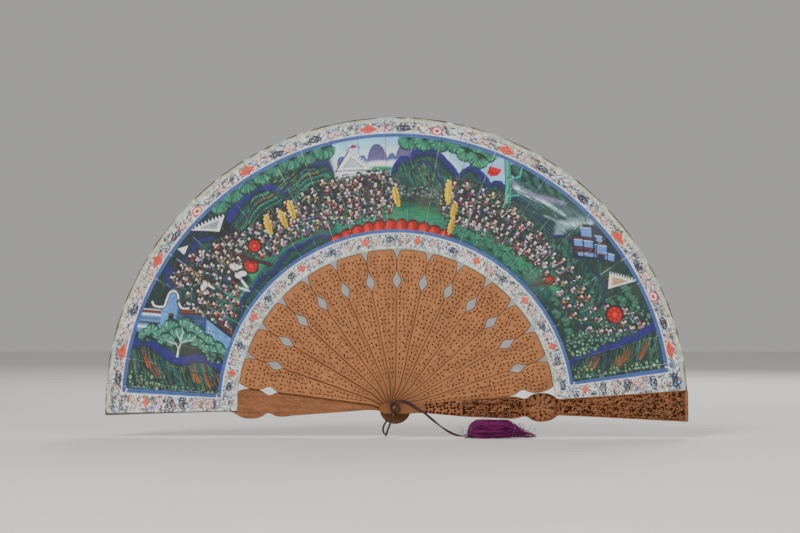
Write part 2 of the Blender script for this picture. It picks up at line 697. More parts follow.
def make_loop(metal):
    """The bail: an eye at each end of the rivet and a wire bent round the blades' lower ends. The
    wire is thin where it meets an eye, between the rivet's head and its washer."""
    front, back = faces_y("loop")
    front_leg, rear_leg = front + 0.4, back - 0.4
    corner = 4.5
    route = [
        (EYE_R - 0.8, front + EYE_THICK / 2, 0), (12, front_leg, 0), (LOOP_REACH - 4, front_leg, 0),
        (LOOP_REACH - 0.8, front_leg + 1.4, 0), (LOOP_REACH, front_leg + corner, 0),
        (LOOP_REACH, (front_leg + rear_leg) / 2, -0.6), (LOOP_REACH, rear_leg - corner, -1.6),
        (LOOP_REACH - 1.2, rear_leg - 1.4, -3), (LOOP_REACH - 5, rear_leg, -4.4),
        (13, rear_leg, -3.2), (EYE_R - 0.8, back - EYE_THICK / 2, 0),
    ]
    axis = math.radians(LOOP_DEG)
    out = np.array([math.cos(axis), 0, math.sin(axis)])
    aside = np.array([-math.sin(axis), 0, math.cos(axis)])
    path = smooth_path([out * reach + np.array([0, y, 0]) + aside * side
                        for reach, y, side in route], 160)
    away = np.hypot(path[:, 0], path[:, 2])
    wire = tube_mesh(path, np.interp(away, (EYE_R, EYE_R + 3), (WIRE_THIN, WIRE_THICK)), 20)
    eyes = [rounded_washer(EYE_R, PIVOT_HOLE, y, y + EYE_THICK, 0.3)
            for y in (front, back - EYE_THICK)]
    points, faces = join_parts([wire, *eyes])
    loop = make_object("bail", points, faces, metal)
    settle(loop, "loop", "loop")


def make_hitch(silk_material):
    """The cord's turn round the rivet: two strands side by side."""
    front, back = faces_y("cord_hitch")
    parts, threads = [], []
    for y, wobble in ((front + 0.55, 0.0), (back - 0.55, 1.3)):
        turn = np.linspace(0, 2 * math.pi, 90)
        radius = HITCH_R + 0.12 * np.sin(3 * turn + wobble)
        path = np.stack([radius * np.cos(turn), y + 0.1 * np.sin(2 * turn),
                         radius * np.sin(turn)], 1)
        parts.append(tube_mesh(path, 0.6, 12))
        threads.append(strand_threads(turn * HITCH_R, 12))
    points, faces = join_parts(parts)
    hitch = make_object("cord_turn", points, faces, silk_material)
    add_vectors(hitch, "thread", np.concatenate(threads))
    settle(hitch, "front_guard", "cord_hitch")


metal = aged_metal("aged_metal", (0.03, 0.022, 0.016), (0.085, 0.062, 0.042), (0.22, 0.17, 0.12))
brown_metal = aged_metal("browned_metal", (0.05, 0.026, 0.012), (0.14, 0.07, 0.034),
                         (0.24, 0.13, 0.068), 0.6)
make_rivet(brown_metal)
make_washers(brown_metal)
make_loop(metal)
make_hitch(plum_silk)

# ---------------------------------------------------------------- the painted leaf

DEG_MM = LEAF_MIDDLE * math.pi / 180  # length of one degree of the unrolled picture
LEFT_DEG = blade_deg(STICKS + 1) + FACET_DEG / 2
RIGHT_DEG = blade_deg(0) - FACET_DEG / 2
SPAN = (LEFT_DEG - RIGHT_DEG) * DEG_MM
STEP = 0.38
PICTURE_LEFT, PICTURE_RIGHT = 20.2, 618.0
PICTURE_LOW, PICTURE_HIGH = 164.0, 247.4
FACET_MM = FACET_DEG * DEG_MM


class Canvas:
    """A painted surface, unrolled. s runs along the leaf from its left end and r up from the
    rivet, both in millimetres. Colours are display values from 0 to 255."""

    def __init__(self, ground, seed):
        self.s = np.arange(0, SPAN + STEP, STEP)
        self.r = np.arange(LEAF_INNER - STEP, LEAF_OUTER + STEP, STEP)
        self.rgb = np.tile(np.array(ground, float), (len(self.r), len(self.s), 1))
        self.random = np.random.default_rng(seed)
        self.fine = self.field(1.6)
        self.medium = self.field(6.0)
        self.broad = self.field(22.0)

    def field(self, size, stretch=1.0):
        """Smooth noise from -1 to 1 whose features are size long in millimetres."""
        across = np.arange(0, SPAN / (size * stretch) + 3)
        up = np.arange(0, (LEAF_OUTER - LEAF_INNER) / size + 3)
        knots = self.random.uniform(-1, 1, (len(up), len(across)))
        x, y = self.s / (size * stretch), (self.r - self.r[0]) / size
        i, j = y.astype(int), x.astype(int)
        u, v = y - i, x - j
        u, v = (u * u * (3 - 2 * u))[:, None], (v * v * (3 - 2 * v))[None]
        low = knots[np.ix_(i, j)] * (1 - v) + knots[np.ix_(i, j + 1)] * v
        high = knots[np.ix_(i + 1, j)] * (1 - v) + knots[np.ix_(i + 1, j + 1)] * v
        return low * (1 - u) + high * u

    def window(self, s_low, s_high, r_low, r_high):
        """The part of the canvas in a box, as (slices, s of its points, r of its points)."""
        j0 = max(int(s_low / STEP), 0)
        j1 = min(int(s_high / STEP) + 2, len(self.s))
        i0 = max(int((r_low - self.r[0]) / STEP), 0)
        i1 = min(int((r_high - self.r[0]) / STEP) + 2, len(self.r))
        where = (slice(i0, max(i1, i0)), slice(j0, max(j1, j0)))
        return where, self.s[where[1]][None], self.r[where[0]][:, None]

    def lay(self, where, cover, colour):
        below = self.rgb[where]
        cover = np.clip(cover, 0, 1)[..., None]
        self.rgb[where] = below + (np.asarray(colour, float) - below) * cover

    def dab(self, s, r, length, width, colour, turn=0.0, cover=1.0, soft=0.35):
        """An oval touch of the brush."""
        reach = max(length, width) / 2 + soft
        where, S, R = self.window(s - reach, s + reach, r - reach, r + reach)
        inside = 1 - oval(S - s, R - r, length, width, turn)
        self.lay(where, cover * inside * min(length, width) / 2 / soft + 0.5 * cover, colour)

    def stroke(self, points, width, colour, cover=1.0, soft=0.35):
        """A line of one width, or of a width that runs from one value to another."""
        p = np.asarray(points, float)
        wide = np.broadcast_to(width, 2)
        reach = max(wide) / 2 + soft
        low, high = p.min(0) - reach, p.max(0) + reach
        where, S, R = self.window(low[0], high[0], low[1], high[1])
        best = np.full(np.broadcast(S, R).shape, -9.0)
        widths = np.linspace(wide[0], wide[1], len(p))
        for a, b, wa, wb in zip(p[:-1], p[1:], widths[:-1], widths[1:]):
            t, gap = along_line(a, b, S, R)
            best = np.maximum(best, (wa + (wb - wa) * t) / 2 - gap)
        self.lay(where, cover * (best / soft + 0.5), colour)

    def ring(self, s, r, size, width, colour):
        where, S, R = self.window(s - size, s + size, r - size, r + size)
        gap = np.abs(np.hypot(S - s, R - r) - size / 2)
        self.lay(where, (width / 2 - gap) / 0.3 + 0.5, colour)

    def shape(self, points, colour, cover=1.0, soft=0.3):
        """A filled outline with straight edges."""
        p = np.asarray(points, float)
        low, high = p.min(0) - soft, p.max(0) + soft
        where, S, R = self.window(low[0], high[0], low[1], high[1])
        inside = np.zeros(np.broadcast(S, R).shape, bool)
        edge = np.full(inside.shape, 99.0)
        for a, b in zip(p, np.roll(p, -1, 0)):
            d = b - a
            edge = np.minimum(edge, along_line(a, b, S, R)[1])
            if abs(d[1]) > 1e-9:
                crosses = (R < a[1]) != (R < b[1])
                inside ^= crosses & (S < a[0] + (R - a[1]) * d[0] / d[1])
        self.lay(where, cover * (np.where(inside, edge, -edge) / soft + 0.5), colour)

    def bands(self, where, depth, stops, cover):
        """Colours that change with depth, given as (depth, colour) stops."""
        places = [d for d, _ in stops]
        colours = np.array([c for _, c in stops], float)
        mixed = np.stack([np.interp(depth, places, colours[:, i]) for i in range(3)], -1)
        self.lay(where, cover, mixed)


INDIGO, ULTRAMARINE, NAVY = (38, 40, 96), (42, 42, 128), (30, 40, 72)
PINE, TEAL, JADE = (22, 54, 50), (36, 96, 92), (62, 138, 112)
MOSS, RUST, CLAY, UMBER, INK = (90, 108, 60), (182, 92, 50), (146, 90, 58), (74, 50, 40), (18, 24, 26)
SKY, LILAC = (186, 200, 224), (116, 108, 148)
SCARLET, BRICK = (196, 38, 34), (152, 60, 42)
YELLOW, STRAW = (228, 200, 70), (190, 140, 50)
WHITE, PEARL, FROST = (240, 240, 238), (188, 187, 183), (190, 210, 206)
FRAME_BLUE = (88, 112, 162)


def jitter(canvas, colour, amount):
    return np.clip(np.array(colour, float) * (1 + amount * canvas.random.uniform(-1, 1)), 0, 255)


def pick(canvas, colours):
    return colours[canvas.random.integers(len(colours))]


def foliage(canvas, s, r, size, lit, light, turn=0.0):
    """A round clump of leaves: dark, with a fan of paler strokes that spread to one edge. lit is
    1 for a pale upper edge and -1 for a pale lower edge, and turn tips the clump over, for trees
    that stand sideways on the leaf."""
    random = canvas.random
    canvas.dab(s, r, size * 1.12, size * 1.05, PINE, soft=0.7)
    c, d = math.cos(math.radians(turn)), math.sin(math.radians(turn))
    root = np.array([0.0, -0.34 * lit * size])
    for reach, share in ((0.82, 0.25), (0.72, 0.7), (0.5, 0.4)):
        tone = np.array(TEAL) * (1 - share) + np.array(light) * share
        for lean in np.linspace(-78, 78, max(int(size * 1.35), 8)):
            lean = math.radians(lean + random.uniform(-4, 4))
            end = reach * size * (0.62 + 0.38 * math.cos(lean)) * random.uniform(0.9, 1.05)
            way = np.array([math.sin(lean), lit * math.cos(lean)])
            path = [root + way * end * part for part in (0.42, 0.72, 1.0)]
            path = [(s + x * c + y * d, r + y * c - x * d) for x, y in path]
            canvas.stroke(path, (0.45, 1.15), jitter(canvas, tone, 0.16), cover=0.62, soft=0.3)


def pebbles(canvas, s_low, s_high, r_low, r_high, count, light):
    for _ in range(count):
        s, r = canvas.random.uniform(s_low, s_high), canvas.random.uniform(r_low, r_high)
        size = canvas.random.uniform(2.6, 4.8)
        canvas.dab(s, r, size * 1.2, size * 1.1, INK, cover=0.9)
        canvas.dab(s, r, size * 0.98, size * 0.88, jitter(canvas, TEAL, 0.3), cover=0.9)
        canvas.dab(s + 0.1, r + 0.25, size * 0.78, size * 0.6, jitter(canvas, light, 0.15),
                   cover=0.85, soft=0.6)


def rock_strokes(canvas, s_low, s_high, r_low, r_high, lean, colours, count, length, width,
                 cover):
    """Many fine strokes that run one way, as rock is drawn. lean is their rise for each
    millimetre to the right."""
    heading = math.atan(lean)
    for _ in range(count):
        s, r = canvas.random.uniform(s_low, s_high), canvas.random.uniform(r_low, r_high)
        run = canvas.random.uniform(0.45, 1.0) * length
        bow = canvas.random.uniform(-0.12, 0.12) * run
        t = np.linspace(-0.5, 0.5, 5)
        along, aside = run * t, bow * (1 - 4 * t * t)
        points = np.stack([s + along * math.cos(heading) - aside * math.sin(heading),
                           r + along * math.sin(heading) + aside * math.cos(heading)], 1)
        canvas.stroke(points, (width, width * 0.35), jitter(canvas, pick(canvas, colours), 0.2),
                      cover=cover, soft=0.3)


ROCK = [PINE, TEAL, JADE, INK, MOSS, (34, 60, 96), TEAL, PINE]


def ridge(canvas, points, drop, lean, rim, strokes=70, colours=ROCK, rust=0):
    """A mountain that hangs down from a crest line: a deep blue rim, then green rock drawn in
    strokes that run down its flank."""
    s_low, s_high = points[0][0], points[-1][0]
    top = max(r for _, r in points) + 3
    foot = min(r for _, r in points) - drop
    where, S, R = canvas.window(s_low, s_high, foot, top)
    s, r = zip(*points)
    crest = np.interp(S, s, r) + 0.9 * canvas.medium[where] + 0.4 * canvas.fine[where]
    depth = crest - R + 1.3 * canvas.medium[where]
    ends = np.clip(np.minimum(S - s_low, s_high - S) / 1.5, 0, 1)
    cover = np.clip((crest - R) / 0.5 + 0.5, 0, 1) * np.clip((drop - depth) / 5, 0, 1) * ends
    stops = [(0, ULTRAMARINE), (rim * 0.7, ULTRAMARINE), (rim, INDIGO), (rim + 2.4, PINE),
             (rim + 5, TEAL), (rim + 8, PINE), (rim + 12, JADE), (rim + 15, PINE), (drop, TEAL)]
    canvas.bands(where, depth, stops, cover)
    for i in range(strokes):
        x = canvas.random.uniform(s_low + 1, s_high - 1)
        y = np.interp(x, s, r) - canvas.random.uniform(rim * 0.8, drop - 3)
        span = canvas.random.uniform(3.5, 9.0)
        t = np.linspace(0, 1, 4)
        slope = lean * (1 + 0.5 * t)
        path = np.stack([x + span * t * 0.55, y + span * slope * t * 0.55], 1)
        tone = RUST if i < rust else pick(canvas, colours)
        canvas.stroke(path, (1.0 if i < rust else 0.7, 0.3), jitter(canvas, tone, 0.25),
                      cover=0.75)
    for i in range(strokes // 3):
        x = canvas.random.uniform(s_low + 1, s_high - 1)
        y = np.interp(x, s, r) - canvas.random.uniform(0.6, rim)
        canvas.stroke([(x, y), (x + 1.4, y - 1.6)], (0.5, 0.2),
                      pick(canvas, [INK, (66, 66, 150), INDIGO]), cover=0.7)


def contour_lines(canvas, s, r, long, rise, count):
    """Layered slopes: long bowed bands of green, ochre and dark, one over another."""
    tones = [JADE, PINE, TEAL, JADE, INK, (150, 110, 62), JADE, PINE, (92, 150, 108), TEAL, INK,
             JADE]
    t = np.linspace(0, 1, 9)
    for i in range(count):
        arch = 3.5 * np.sin(math.pi * np.clip(t * 1.15, 0, 1))
        start = canvas.random.uniform(0, 3)
        path = np.stack([s + start + 1.0 * i + (long - 1.8 * i - start) * t,
                         r + 1.5 * i + rise * t * (1 - 0.5 * t) + arch * (0.5 + 0.06 * i)], 1)
        path += canvas.random.uniform(-0.4, 0.4, path.shape)
        canvas.stroke(path, (0.8, 1.7), jitter(canvas, tones[i % len(tones)], 0.15), cover=0.85,
                      soft=0.5)
        for _ in range(7):
            at = canvas.random.integers(1, 8)
            canvas.stroke([path[at], path[at] + (1.6, -1.3)], (0.5, 0.3), INK, cover=0.6)


def blue_band(canvas, points, width):
    """A deep blue ridge drawn along a line, with a dark foot and short strokes across it."""
    points = np.asarray(points, float)
    canvas.stroke(points, width * 1.15, INK, soft=1.2, cover=0.8)
    canvas.stroke(points, width, ULTRAMARINE, soft=0.9)
    path = smooth_path(points, 60)
    for p, q in zip(path[:-1], path[1:]):
        away = np.array([-(q - p)[1], (q - p)[0]]) / max(np.linalg.norm(q - p), 1e-6)
        root = p + away * width * canvas.random.uniform(-0.45, 0.45)
        canvas.stroke([root, root + away * 1.6 + (q - p) * 0.8], (0.6, 0.25),
                      pick(canvas, [INK, INDIGO, (72, 72, 160), TEAL]), cover=0.65)


def upright(s, r, points):
    """Points given as right and up, as the open fan is seen, round a place on the leaf."""
    angle = math.radians(LEFT_DEG - s / DEG_MM)
    c, d = math.cos(angle), math.sin(angle)
    return [(s + x * d - y * c, r + x * c + y * d) for x, y in points]


def banner(canvas, s, r, tall, lean):
    """A long yellow standard with a toothed edge and darker folds. lean is how far its top
    stands to the right of its foot."""
    canvas.dab(s - 0.6, r, 7.6, tall * 0.95, INK, 0, cover=0.6, soft=0.8)
    heights = np.linspace(-0.5, 0.5, 11)
    wide = 3.5 * np.cos(1.35 * heights / 0.5) ** 0.7
    tooth = np.where(np.arange(11) % 2, 0.9, -0.35)
    right = [(lean * t + w + n, tall * t) for t, w, n in zip(heights, wide, tooth)]
    left = [(lean * t - w + n, tall * t) for t, w, n in zip(heights, wide, tooth)]
    canvas.shape(upright(s, r, right + left[::-1]), YELLOW)
    for t, w in zip(heights[1:-1], wide[1:-1]):
        x, y = lean * t, tall * t
        canvas.stroke(upright(s, r, [(x - w * 0.6, y - 0.7), (x + w * 0.5, y + 0.6)]), 0.5,
                      (170, 116, 44), cover=0.8)
        canvas.stroke(upright(s, r, [(x + w * 0.1, y - 0.8), (x + w * 0.6, y - 0.5)]), 0.55, UMBER,
                      cover=0.85)
    canvas.stroke(upright(s, r, [(lean / 2 + 3, tall * 0.62), (-lean / 2 + 3, -tall / 2)]), 0.5,
                  UMBER)


def tent(canvas, corners, inner):
    """A white three-cornered standard with a toothed edge and a fine lattice inside."""
    middle = np.mean(corners, axis=0)
    canvas.shape([middle + (np.array(c) - middle) * 1.12 for c in corners], INK, cover=0.8)
    canvas.shape(corners, WHITE)
    canvas.shape([middle + (np.array(c) - middle) * 0.64 for c in corners], inner)
    a, b = np.array(corners[0], float), np.array(corners[1], float)
    out = np.array([-(b - a)[1], (b - a)[0]])
    out = out / np.linalg.norm(out)
    out = out if out @ (a - middle) > 0 else -out
    for t in np.linspace(0.03, 0.97, 10):
        root = a + (b - a) * t
        canvas.shape([root - (b - a) * 0.035, root + (b - a) * 0.035, root + out * 3.0], WHITE)
    for t in np.linspace(0.12, 0.88, 8):
        p = a + (np.array(corners[2]) - a) * t
        q = b + (np.array(corners[2]) - b) * t
        canvas.stroke([middle + (p - middle) * 0.62, middle + (q - middle) * 0.62], 0.35, WHITE,
                      cover=0.55)


def page_place(x, y):
    """A point x from the rivet along a radial frame line and y square to it, as how far round
    the leaf it lies and how far from the rivet."""
    return math.degrees(math.atan2(y, x)) * DEG_MM, math.hypot(x, y)


def from_left(points):
    """The left end is painted sideways: x runs from the outer frame inwards and y up from the
    left frame."""
    places = [page_place(PICTURE_HIGH - x, y) for x, y in points]
    return [(PICTURE_LEFT + s, r) for s, r in places]


def from_right(points):
    """The right end is painted sideways the other way: x runs outwards and y up from the right
    frame."""
    places = [page_place(PICTURE_LOW + x, y) for x, y in points]
    return [(PICTURE_RIGHT - s, r) for s, r in places]


def rust_stripes(canvas, place, bends, clumps):
    """Clumps of four russet strokes down a rock. place turns page points into places on the leaf,
    and bends are how far aside each stroke's top, middle and foot lie."""
    for x, y, tall in clumps:
        for shift in range(4):
            up = y + canvas.random.uniform(-3, 3)
            path = place([(x + 1.5 * shift + bend, up + tall * part)
                          for bend, part in zip(bends, (0.5, 0, -0.5))])
            canvas.stroke(path, (0.5, 1.7), jitter(canvas, pick(canvas, [RUST, CLAY]), 0.15),
                          cover=0.75, soft=0.6)

def paint_left_end(canvas):
    canvas.shape([(20, 163), (20, 248), (72, 248), (66, 163)], PINE, soft=2.0)
    rock_strokes(canvas, 21, 56, 164, 247, 0.42, [TEAL, JADE, PINE, INK, MOSS, (36, 66, 110)], 360,
                 17, 1.1, 0.8)
    rust_stripes(canvas, from_left, (0, 2.5, 6.5),
                 ((12, 28, 16), (20, 19, 12), (56, 17, 14), (68, 15, 13), (78, 13, 13)))
    rock_strokes(canvas, 22, 50, 166, 246, 0.45, [INK, (150, 160, 90), JADE], 110, 15, 0.5, 0.8)
    pebbles(canvas, 21.5, 33, 214, 246, 40, (134, 148, 112))
    pebbles(canvas, 21.5, 25, 168, 214, 26, (120, 144, 114))
    blue_band(canvas, from_left([(1, 40), (8, 44), (16, 45), (24, 41), (31, 35), (40, 30),
                                 (50, 28), (61, 32), (73, 31), (84, 25), (92, 27)]), 8.0)
    paint_house(canvas)
    for x, y, size in ((14, 49, 11), (88, 37, 12), (80, 42, 15), (70, 48, 14), (20, 53, 13),
                       (74, 40, 12), (28, 50, 12), (60, 55, 14), (50, 60, 16), (37, 57, 16),
                       (62, 45, 13), (44, 51, 16), (33, 46, 13), (55, 48, 14)):
        (s, r), = from_left([(x, y)])
        foliage(canvas, s, r, size, 1.0, (150, 206, 172), 90)
    (s, r), = from_left([(80, 32)])
    pebbles(canvas, s - 4, s + 6, r - 9, r + 9, 22, (96, 140, 120))
    canvas.stroke(from_left([(44.5, 32), (45, 38), (46.5, 43), (47, 52)]), (1.9, 0.9), FROST)
    for path in (((45, 39), (42, 44), (38, 49)), ((46, 43), (50, 46), (54, 51)),
                 ((47, 49), (48, 54), (47, 59)), ((49, 46), (55, 47), (60, 51)),
                 ((43, 43), (38, 44), (34, 46)), ((46, 47), (43, 52), (42, 56))):
        canvas.stroke(from_left(path), (1.0, 0.45), FROST)


def paint_house(canvas):
    """A pale blue house: a scrolled gable, a striped wing and a russet roof that steps down."""
    wall, shade, dark = (112, 150, 186), (66, 100, 146), (24, 40, 52)
    canvas.shape(from_left([(0, 46), (96, 42), (96, 58), (70, 78), (0, 78)]), dark, soft=1.5)
    canvas.shape(from_left([(2, 52), (27, 52), (27, 72), (2, 72)]), wall)
    for y, tone, wide in ((57, WHITE, 1.6), (61, UMBER, 1.2), (65, (96, 120, 160), 2.2),
                          (68.5, WHITE, 1.4), (71, BRICK, 1.6), (73, WHITE, 0.8)):
        canvas.stroke(from_left([(2, y), (27, y)]), wide, tone)
    for x in range(4, 27, 3):
        canvas.stroke(from_left([(x, 70), (x + 0.2, 72)]), 0.8, UMBER)
    canvas.shape(from_left([(45, 48), (69, 48), (69, 71), (45, 71)]), (50, 76, 122))
    canvas.shape(from_left([(69, 48), (96, 36), (96, 50), (69, 68)]), wall)
    for shift in (2.5, 5.0, 7.5):
        canvas.stroke(from_left([(69 + shift, 64 - shift), (69 + shift, 50 - shift / 2)]), 0.5,
                      WHITE, cover=0.6)
        canvas.stroke(from_left([(46 + shift, 68 - shift), (68 - shift, 68 - shift)]), 0.5, SKY,
                      cover=0.5)
    canvas.shape(from_left([(27, 50), (27, 73), (31, 77), (32.8, 87), (36.7, 90), (40.6, 87),
                            (41.8, 77), (46, 73), (46, 50)]), wall)
    canvas.shape(from_left([(41, 50), (46, 50), (46, 72), (41.5, 77)]), shade, cover=0.6)
    scroll = [(18, 80), (20, 77), (25, 76), (29, 77), (31, 83), (33, 89), (36.7, 91.6),
              (40.6, 89), (42, 83), (44, 77.6), (48.6, 76), (52.6, 78), (51, 81)]
    path = smooth_path(scroll, 70)
    canvas.stroke(from_left(path), 2.9, INK, cover=0.8)
    canvas.stroke(from_left(path), 1.7, WHITE)
    canvas.shape(from_left([(33.6, 60), (38.6, 60), (38.6, 71), (33.6, 71)]), UMBER)
    canvas.shape(from_left([(34.6, 61), (37.6, 61), (37.6, 70), (34.6, 70)]), INK)
    roof = from_left([(45, 73), (68, 73), (76, 69), (84, 63), (92, 57)])
    canvas.stroke(roof, 4.2, UMBER)
    canvas.stroke(roof, 2.2, BRICK, cover=0.8)
    canvas.stroke(np.array(roof) + (2.4, 0), 0.9, (150, 150, 140), cover=0.9)
    for a, b in zip(roof[:-1], roof[1:]):
        for t in np.arange(0.05, 1, 0.12):
            p = np.array(a) + (np.array(b) - a) * t
            canvas.stroke([p - (1.6, 0.3), p + (1.6, 0.3)], 0.4, INK, cover=0.7)


def paint_left_field(canvas):
    """The ground and the hills behind the left-hand crowd."""
    where, S, R = canvas.window(84, 276, PICTURE_LOW, PICTURE_HIGH)
    ends = np.clip((S - 90) / 5, 0, 1) * np.clip((276 - S) / 5, 0, 1) + 0 * R
    canvas.bands(where, R + 2.5 * canvas.medium[where],
                 [(164, PINE), (171, TEAL), (181, JADE), (190, TEAL), (205, PINE), (228, INK),
                  (240, PINE), (248, PINE)], ends)
    rock_strokes(canvas, 90, 272, 188, 246, 0.5, ROCK, 520, 9, 0.8, 0.5)
    canvas.dab(150, 240, 60, 8, NAVY, -2, 0.8, 3)
    ridge(canvas, [(100, 226), (106, 236), (112, 244), (120, 246)], 26, -0.9, 6)
    ridge(canvas, [(112, 222), (120, 233), (132, 238), (150, 236), (160, 230)], 16, 0.6, 4, 60)
    ridge(canvas, [(176, 232), (190, 238), (208, 239), (222, 235), (230, 226), (232, 212)], 24,
          0.25, 6.5, 60)
    ridge(canvas, [(190, 222), (200, 228), (212, 228), (222, 220), (226, 212)], 15, 0.25, 1.2, 30)
    ridge(canvas, [(228, 224), (238, 232), (250, 238), (262, 242), (270, 239), (275, 226),
                   (275, 214)], 26, 0.25, 7, 60)
    ridge(canvas, [(230, 222), (242, 230), (254, 232), (262, 226), (267, 214)], 15, 0.25, 1.2, 30)
    rock_strokes(canvas, 229, 249, 220, 240, 0.3, [PINE, TEAL, JADE, MOSS, INK], 110, 8, 1.3, 0.9)
    for s0, r0, long, rise in ((186, 212, 38, 10), (232, 212, 34, 14)):
        contour_lines(canvas, s0, r0, long, rise, 11)
    for s in np.arange(181, 276, 12.8):
        foliage(canvas, s, 243.6 - 1.4 * math.sin(s), 15.5, -1.0, (104, 180, 136), 20)
    canvas.dab(150, 181, 60, 14, (60, 160, 112), 6, 0.8, 5)
    canvas.dab(218, 181, 66, 10, (52, 140, 98), -4, 0.6, 5)
    rock_strokes(canvas, 96, 262, 165, 176, 0.35, [PINE, INK, TEAL, NAVY], 160, 7, 0.9, 0.55)
    ridge(canvas, [(118, 168), (134, 174), (150, 172), (162, 173), (178, 169), (190, 172),
                   (206, 176), (222, 173), (240, 174), (252, 168)], 12, -0.6, 2.4, 90,
          [PINE, INK, NAVY, TEAL])


def paint_sky(canvas):
    where, S, R = canvas.window(262, 452, 206, PICTURE_HIGH)
    edge = np.clip((S - 264) / 4, 0, 1) * np.clip((452 - S) / 14, 0, 1)
    haze = R + 3 * canvas.broad[where]
    canvas.bands(where, haze, [(206, (120, 150, 150)), (218, (205, 212, 218)), (228, (206, 212, 224)),
                               (236, SKY), (248, (160, 186, 226))],
                 edge * np.clip((R - 207) / 4, 0, 1))
    for s, r, wide, tall in ((283, 235, 11, 10), (312, 242, 20, 20), (334, 242, 17, 19),
                             (300, 233, 9, 9), (324, 233, 9, 8), (396, 240, 14, 12),
                             (388, 236, 8, 9)):
        tone = LILAC if wide > 12 else (96, 124, 176)
        t = np.linspace(-0.5, 0.5, 9)
        hump = [(s + wide * x, r - tall * (2 * abs(x)) ** 2.2) for x in t]
        canvas.shape(hump, tone, soft=0.8)
        for x in np.linspace(-0.42, 0.42, int(wide)):
            start = r - tall * (2 * abs(x)) ** 2.2 - 0.6
            canvas.stroke([(s + wide * x, start), (s + wide * x * 1.1, start - tall * 0.5)],
                          (0.7, 0.3), (74, 66, 104), cover=0.45)
        canvas.stroke(hump[1:-1], 0.6, (70, 62, 100), cover=0.6)
        canvas.dab(s, r - tall, wide * 1.3, tall * 0.5, (214, 218, 226), 0, 0.75, 2.5)
    canvas.dab(396, 236, 56, 34, (158, 182, 222), 0, 0.85, 8)
    canvas.dab(316, 219, 46, 5, JADE, -4, 0.85, 2)
    rock_strokes(canvas, 268, 300, 206, 217, 0.0, [TEAL, (110, 140, 140), PINE], 60, 8, 0.7, 0.6)
    tent(canvas, [(290, 238), (306, 219), (277, 223)], (150, 158, 160))
    canvas.dab(294, 242, 4.4, 3.2, SCARLET, soft=0.5)
    canvas.stroke([(299, 240), (294, 243), (288, 240)], 0.8, (90, 70, 110), cover=0.8)


def paint_middle(canvas):
    """The blue peaks to the right of the sky, over a dark valley with grey rocks."""
    where, S, R = canvas.window(256, 500, PICTURE_LOW, 216)
    ends = np.clip((S - 258) / 8, 0, 1)
    canvas.bands(where, R + 2.5 * canvas.medium[where],
                 [(164, TEAL), (173, JADE), (181, (44, 134, 90)), (190, PINE), (197, INK),
                  (216, PINE)],
                 ends * np.clip((216 - R) / 6, 0, 1))
    rock_strokes(canvas, 256, 325, 196, 216, 0.1, ROCK, 170, 8, 0.8, 0.6)
    ridge(canvas, [(321, 208), (325, 222), (331, 230), (337, 231), (342, 226)], 30, -1.8, 5.5,
          110, ROCK)
    ridge(canvas, [(337, 226), (340, 236), (347, 240), (356, 240), (364, 236), (372, 230),
                   (381, 222), (388, 214), (392, 206)], 38, -1.6, 6, 220, ROCK, 6)
    ridge(canvas, [(344, 222), (350, 228), (357, 226), (364, 216), (372, 204)], 24, -1.6, 1.0, 120,
          [JADE, MOSS, PINE, INK, JADE, (150, 120, 70)], 10)
    ridge(canvas, [(379, 216), (383, 227), (389, 233), (397, 231), (405, 227), (413, 220),
                   (420, 212)], 27, -1.5, 5, 120, ROCK)
    ridge(canvas, [(406, 217), (411, 227), (417, 229), (424, 225), (431, 215)], 22, -1.4, 4, 70,
          ROCK, 5)
    for s in np.arange(337, 405, 12.0):
        foliage(canvas, s, 244.6 - 1.6 * math.sin(0.6 * s), 14.5, -1.0, (100, 192, 136), 8)
    foliage(canvas, 393, 238, 14, -1.0, (110, 200, 140), 8)
    foliage(canvas, 382, 240, 13, -1.0, (110, 200, 140), 8)
    pebbles(canvas, 329, 373, 195, 203, 62, (128, 132, 128))
    rock_strokes(canvas, 322, 380, 164, 194, 0.05, [JADE, (50, 140, 96), TEAL], 110, 9, 1.0, 0.4)
    rock_strokes(canvas, 380, 500, 165, 200, -0.3, ROCK, 330, 8, 0.8, 0.6)
    for s, r in ((384, 176), (396, 170), (410, 172), (424, 168), (438, 172), (452, 170),
                 (466, 168), (480, 172)):
        foliage(canvas, s, r, 9.5, 1.0, (96, 170, 120))


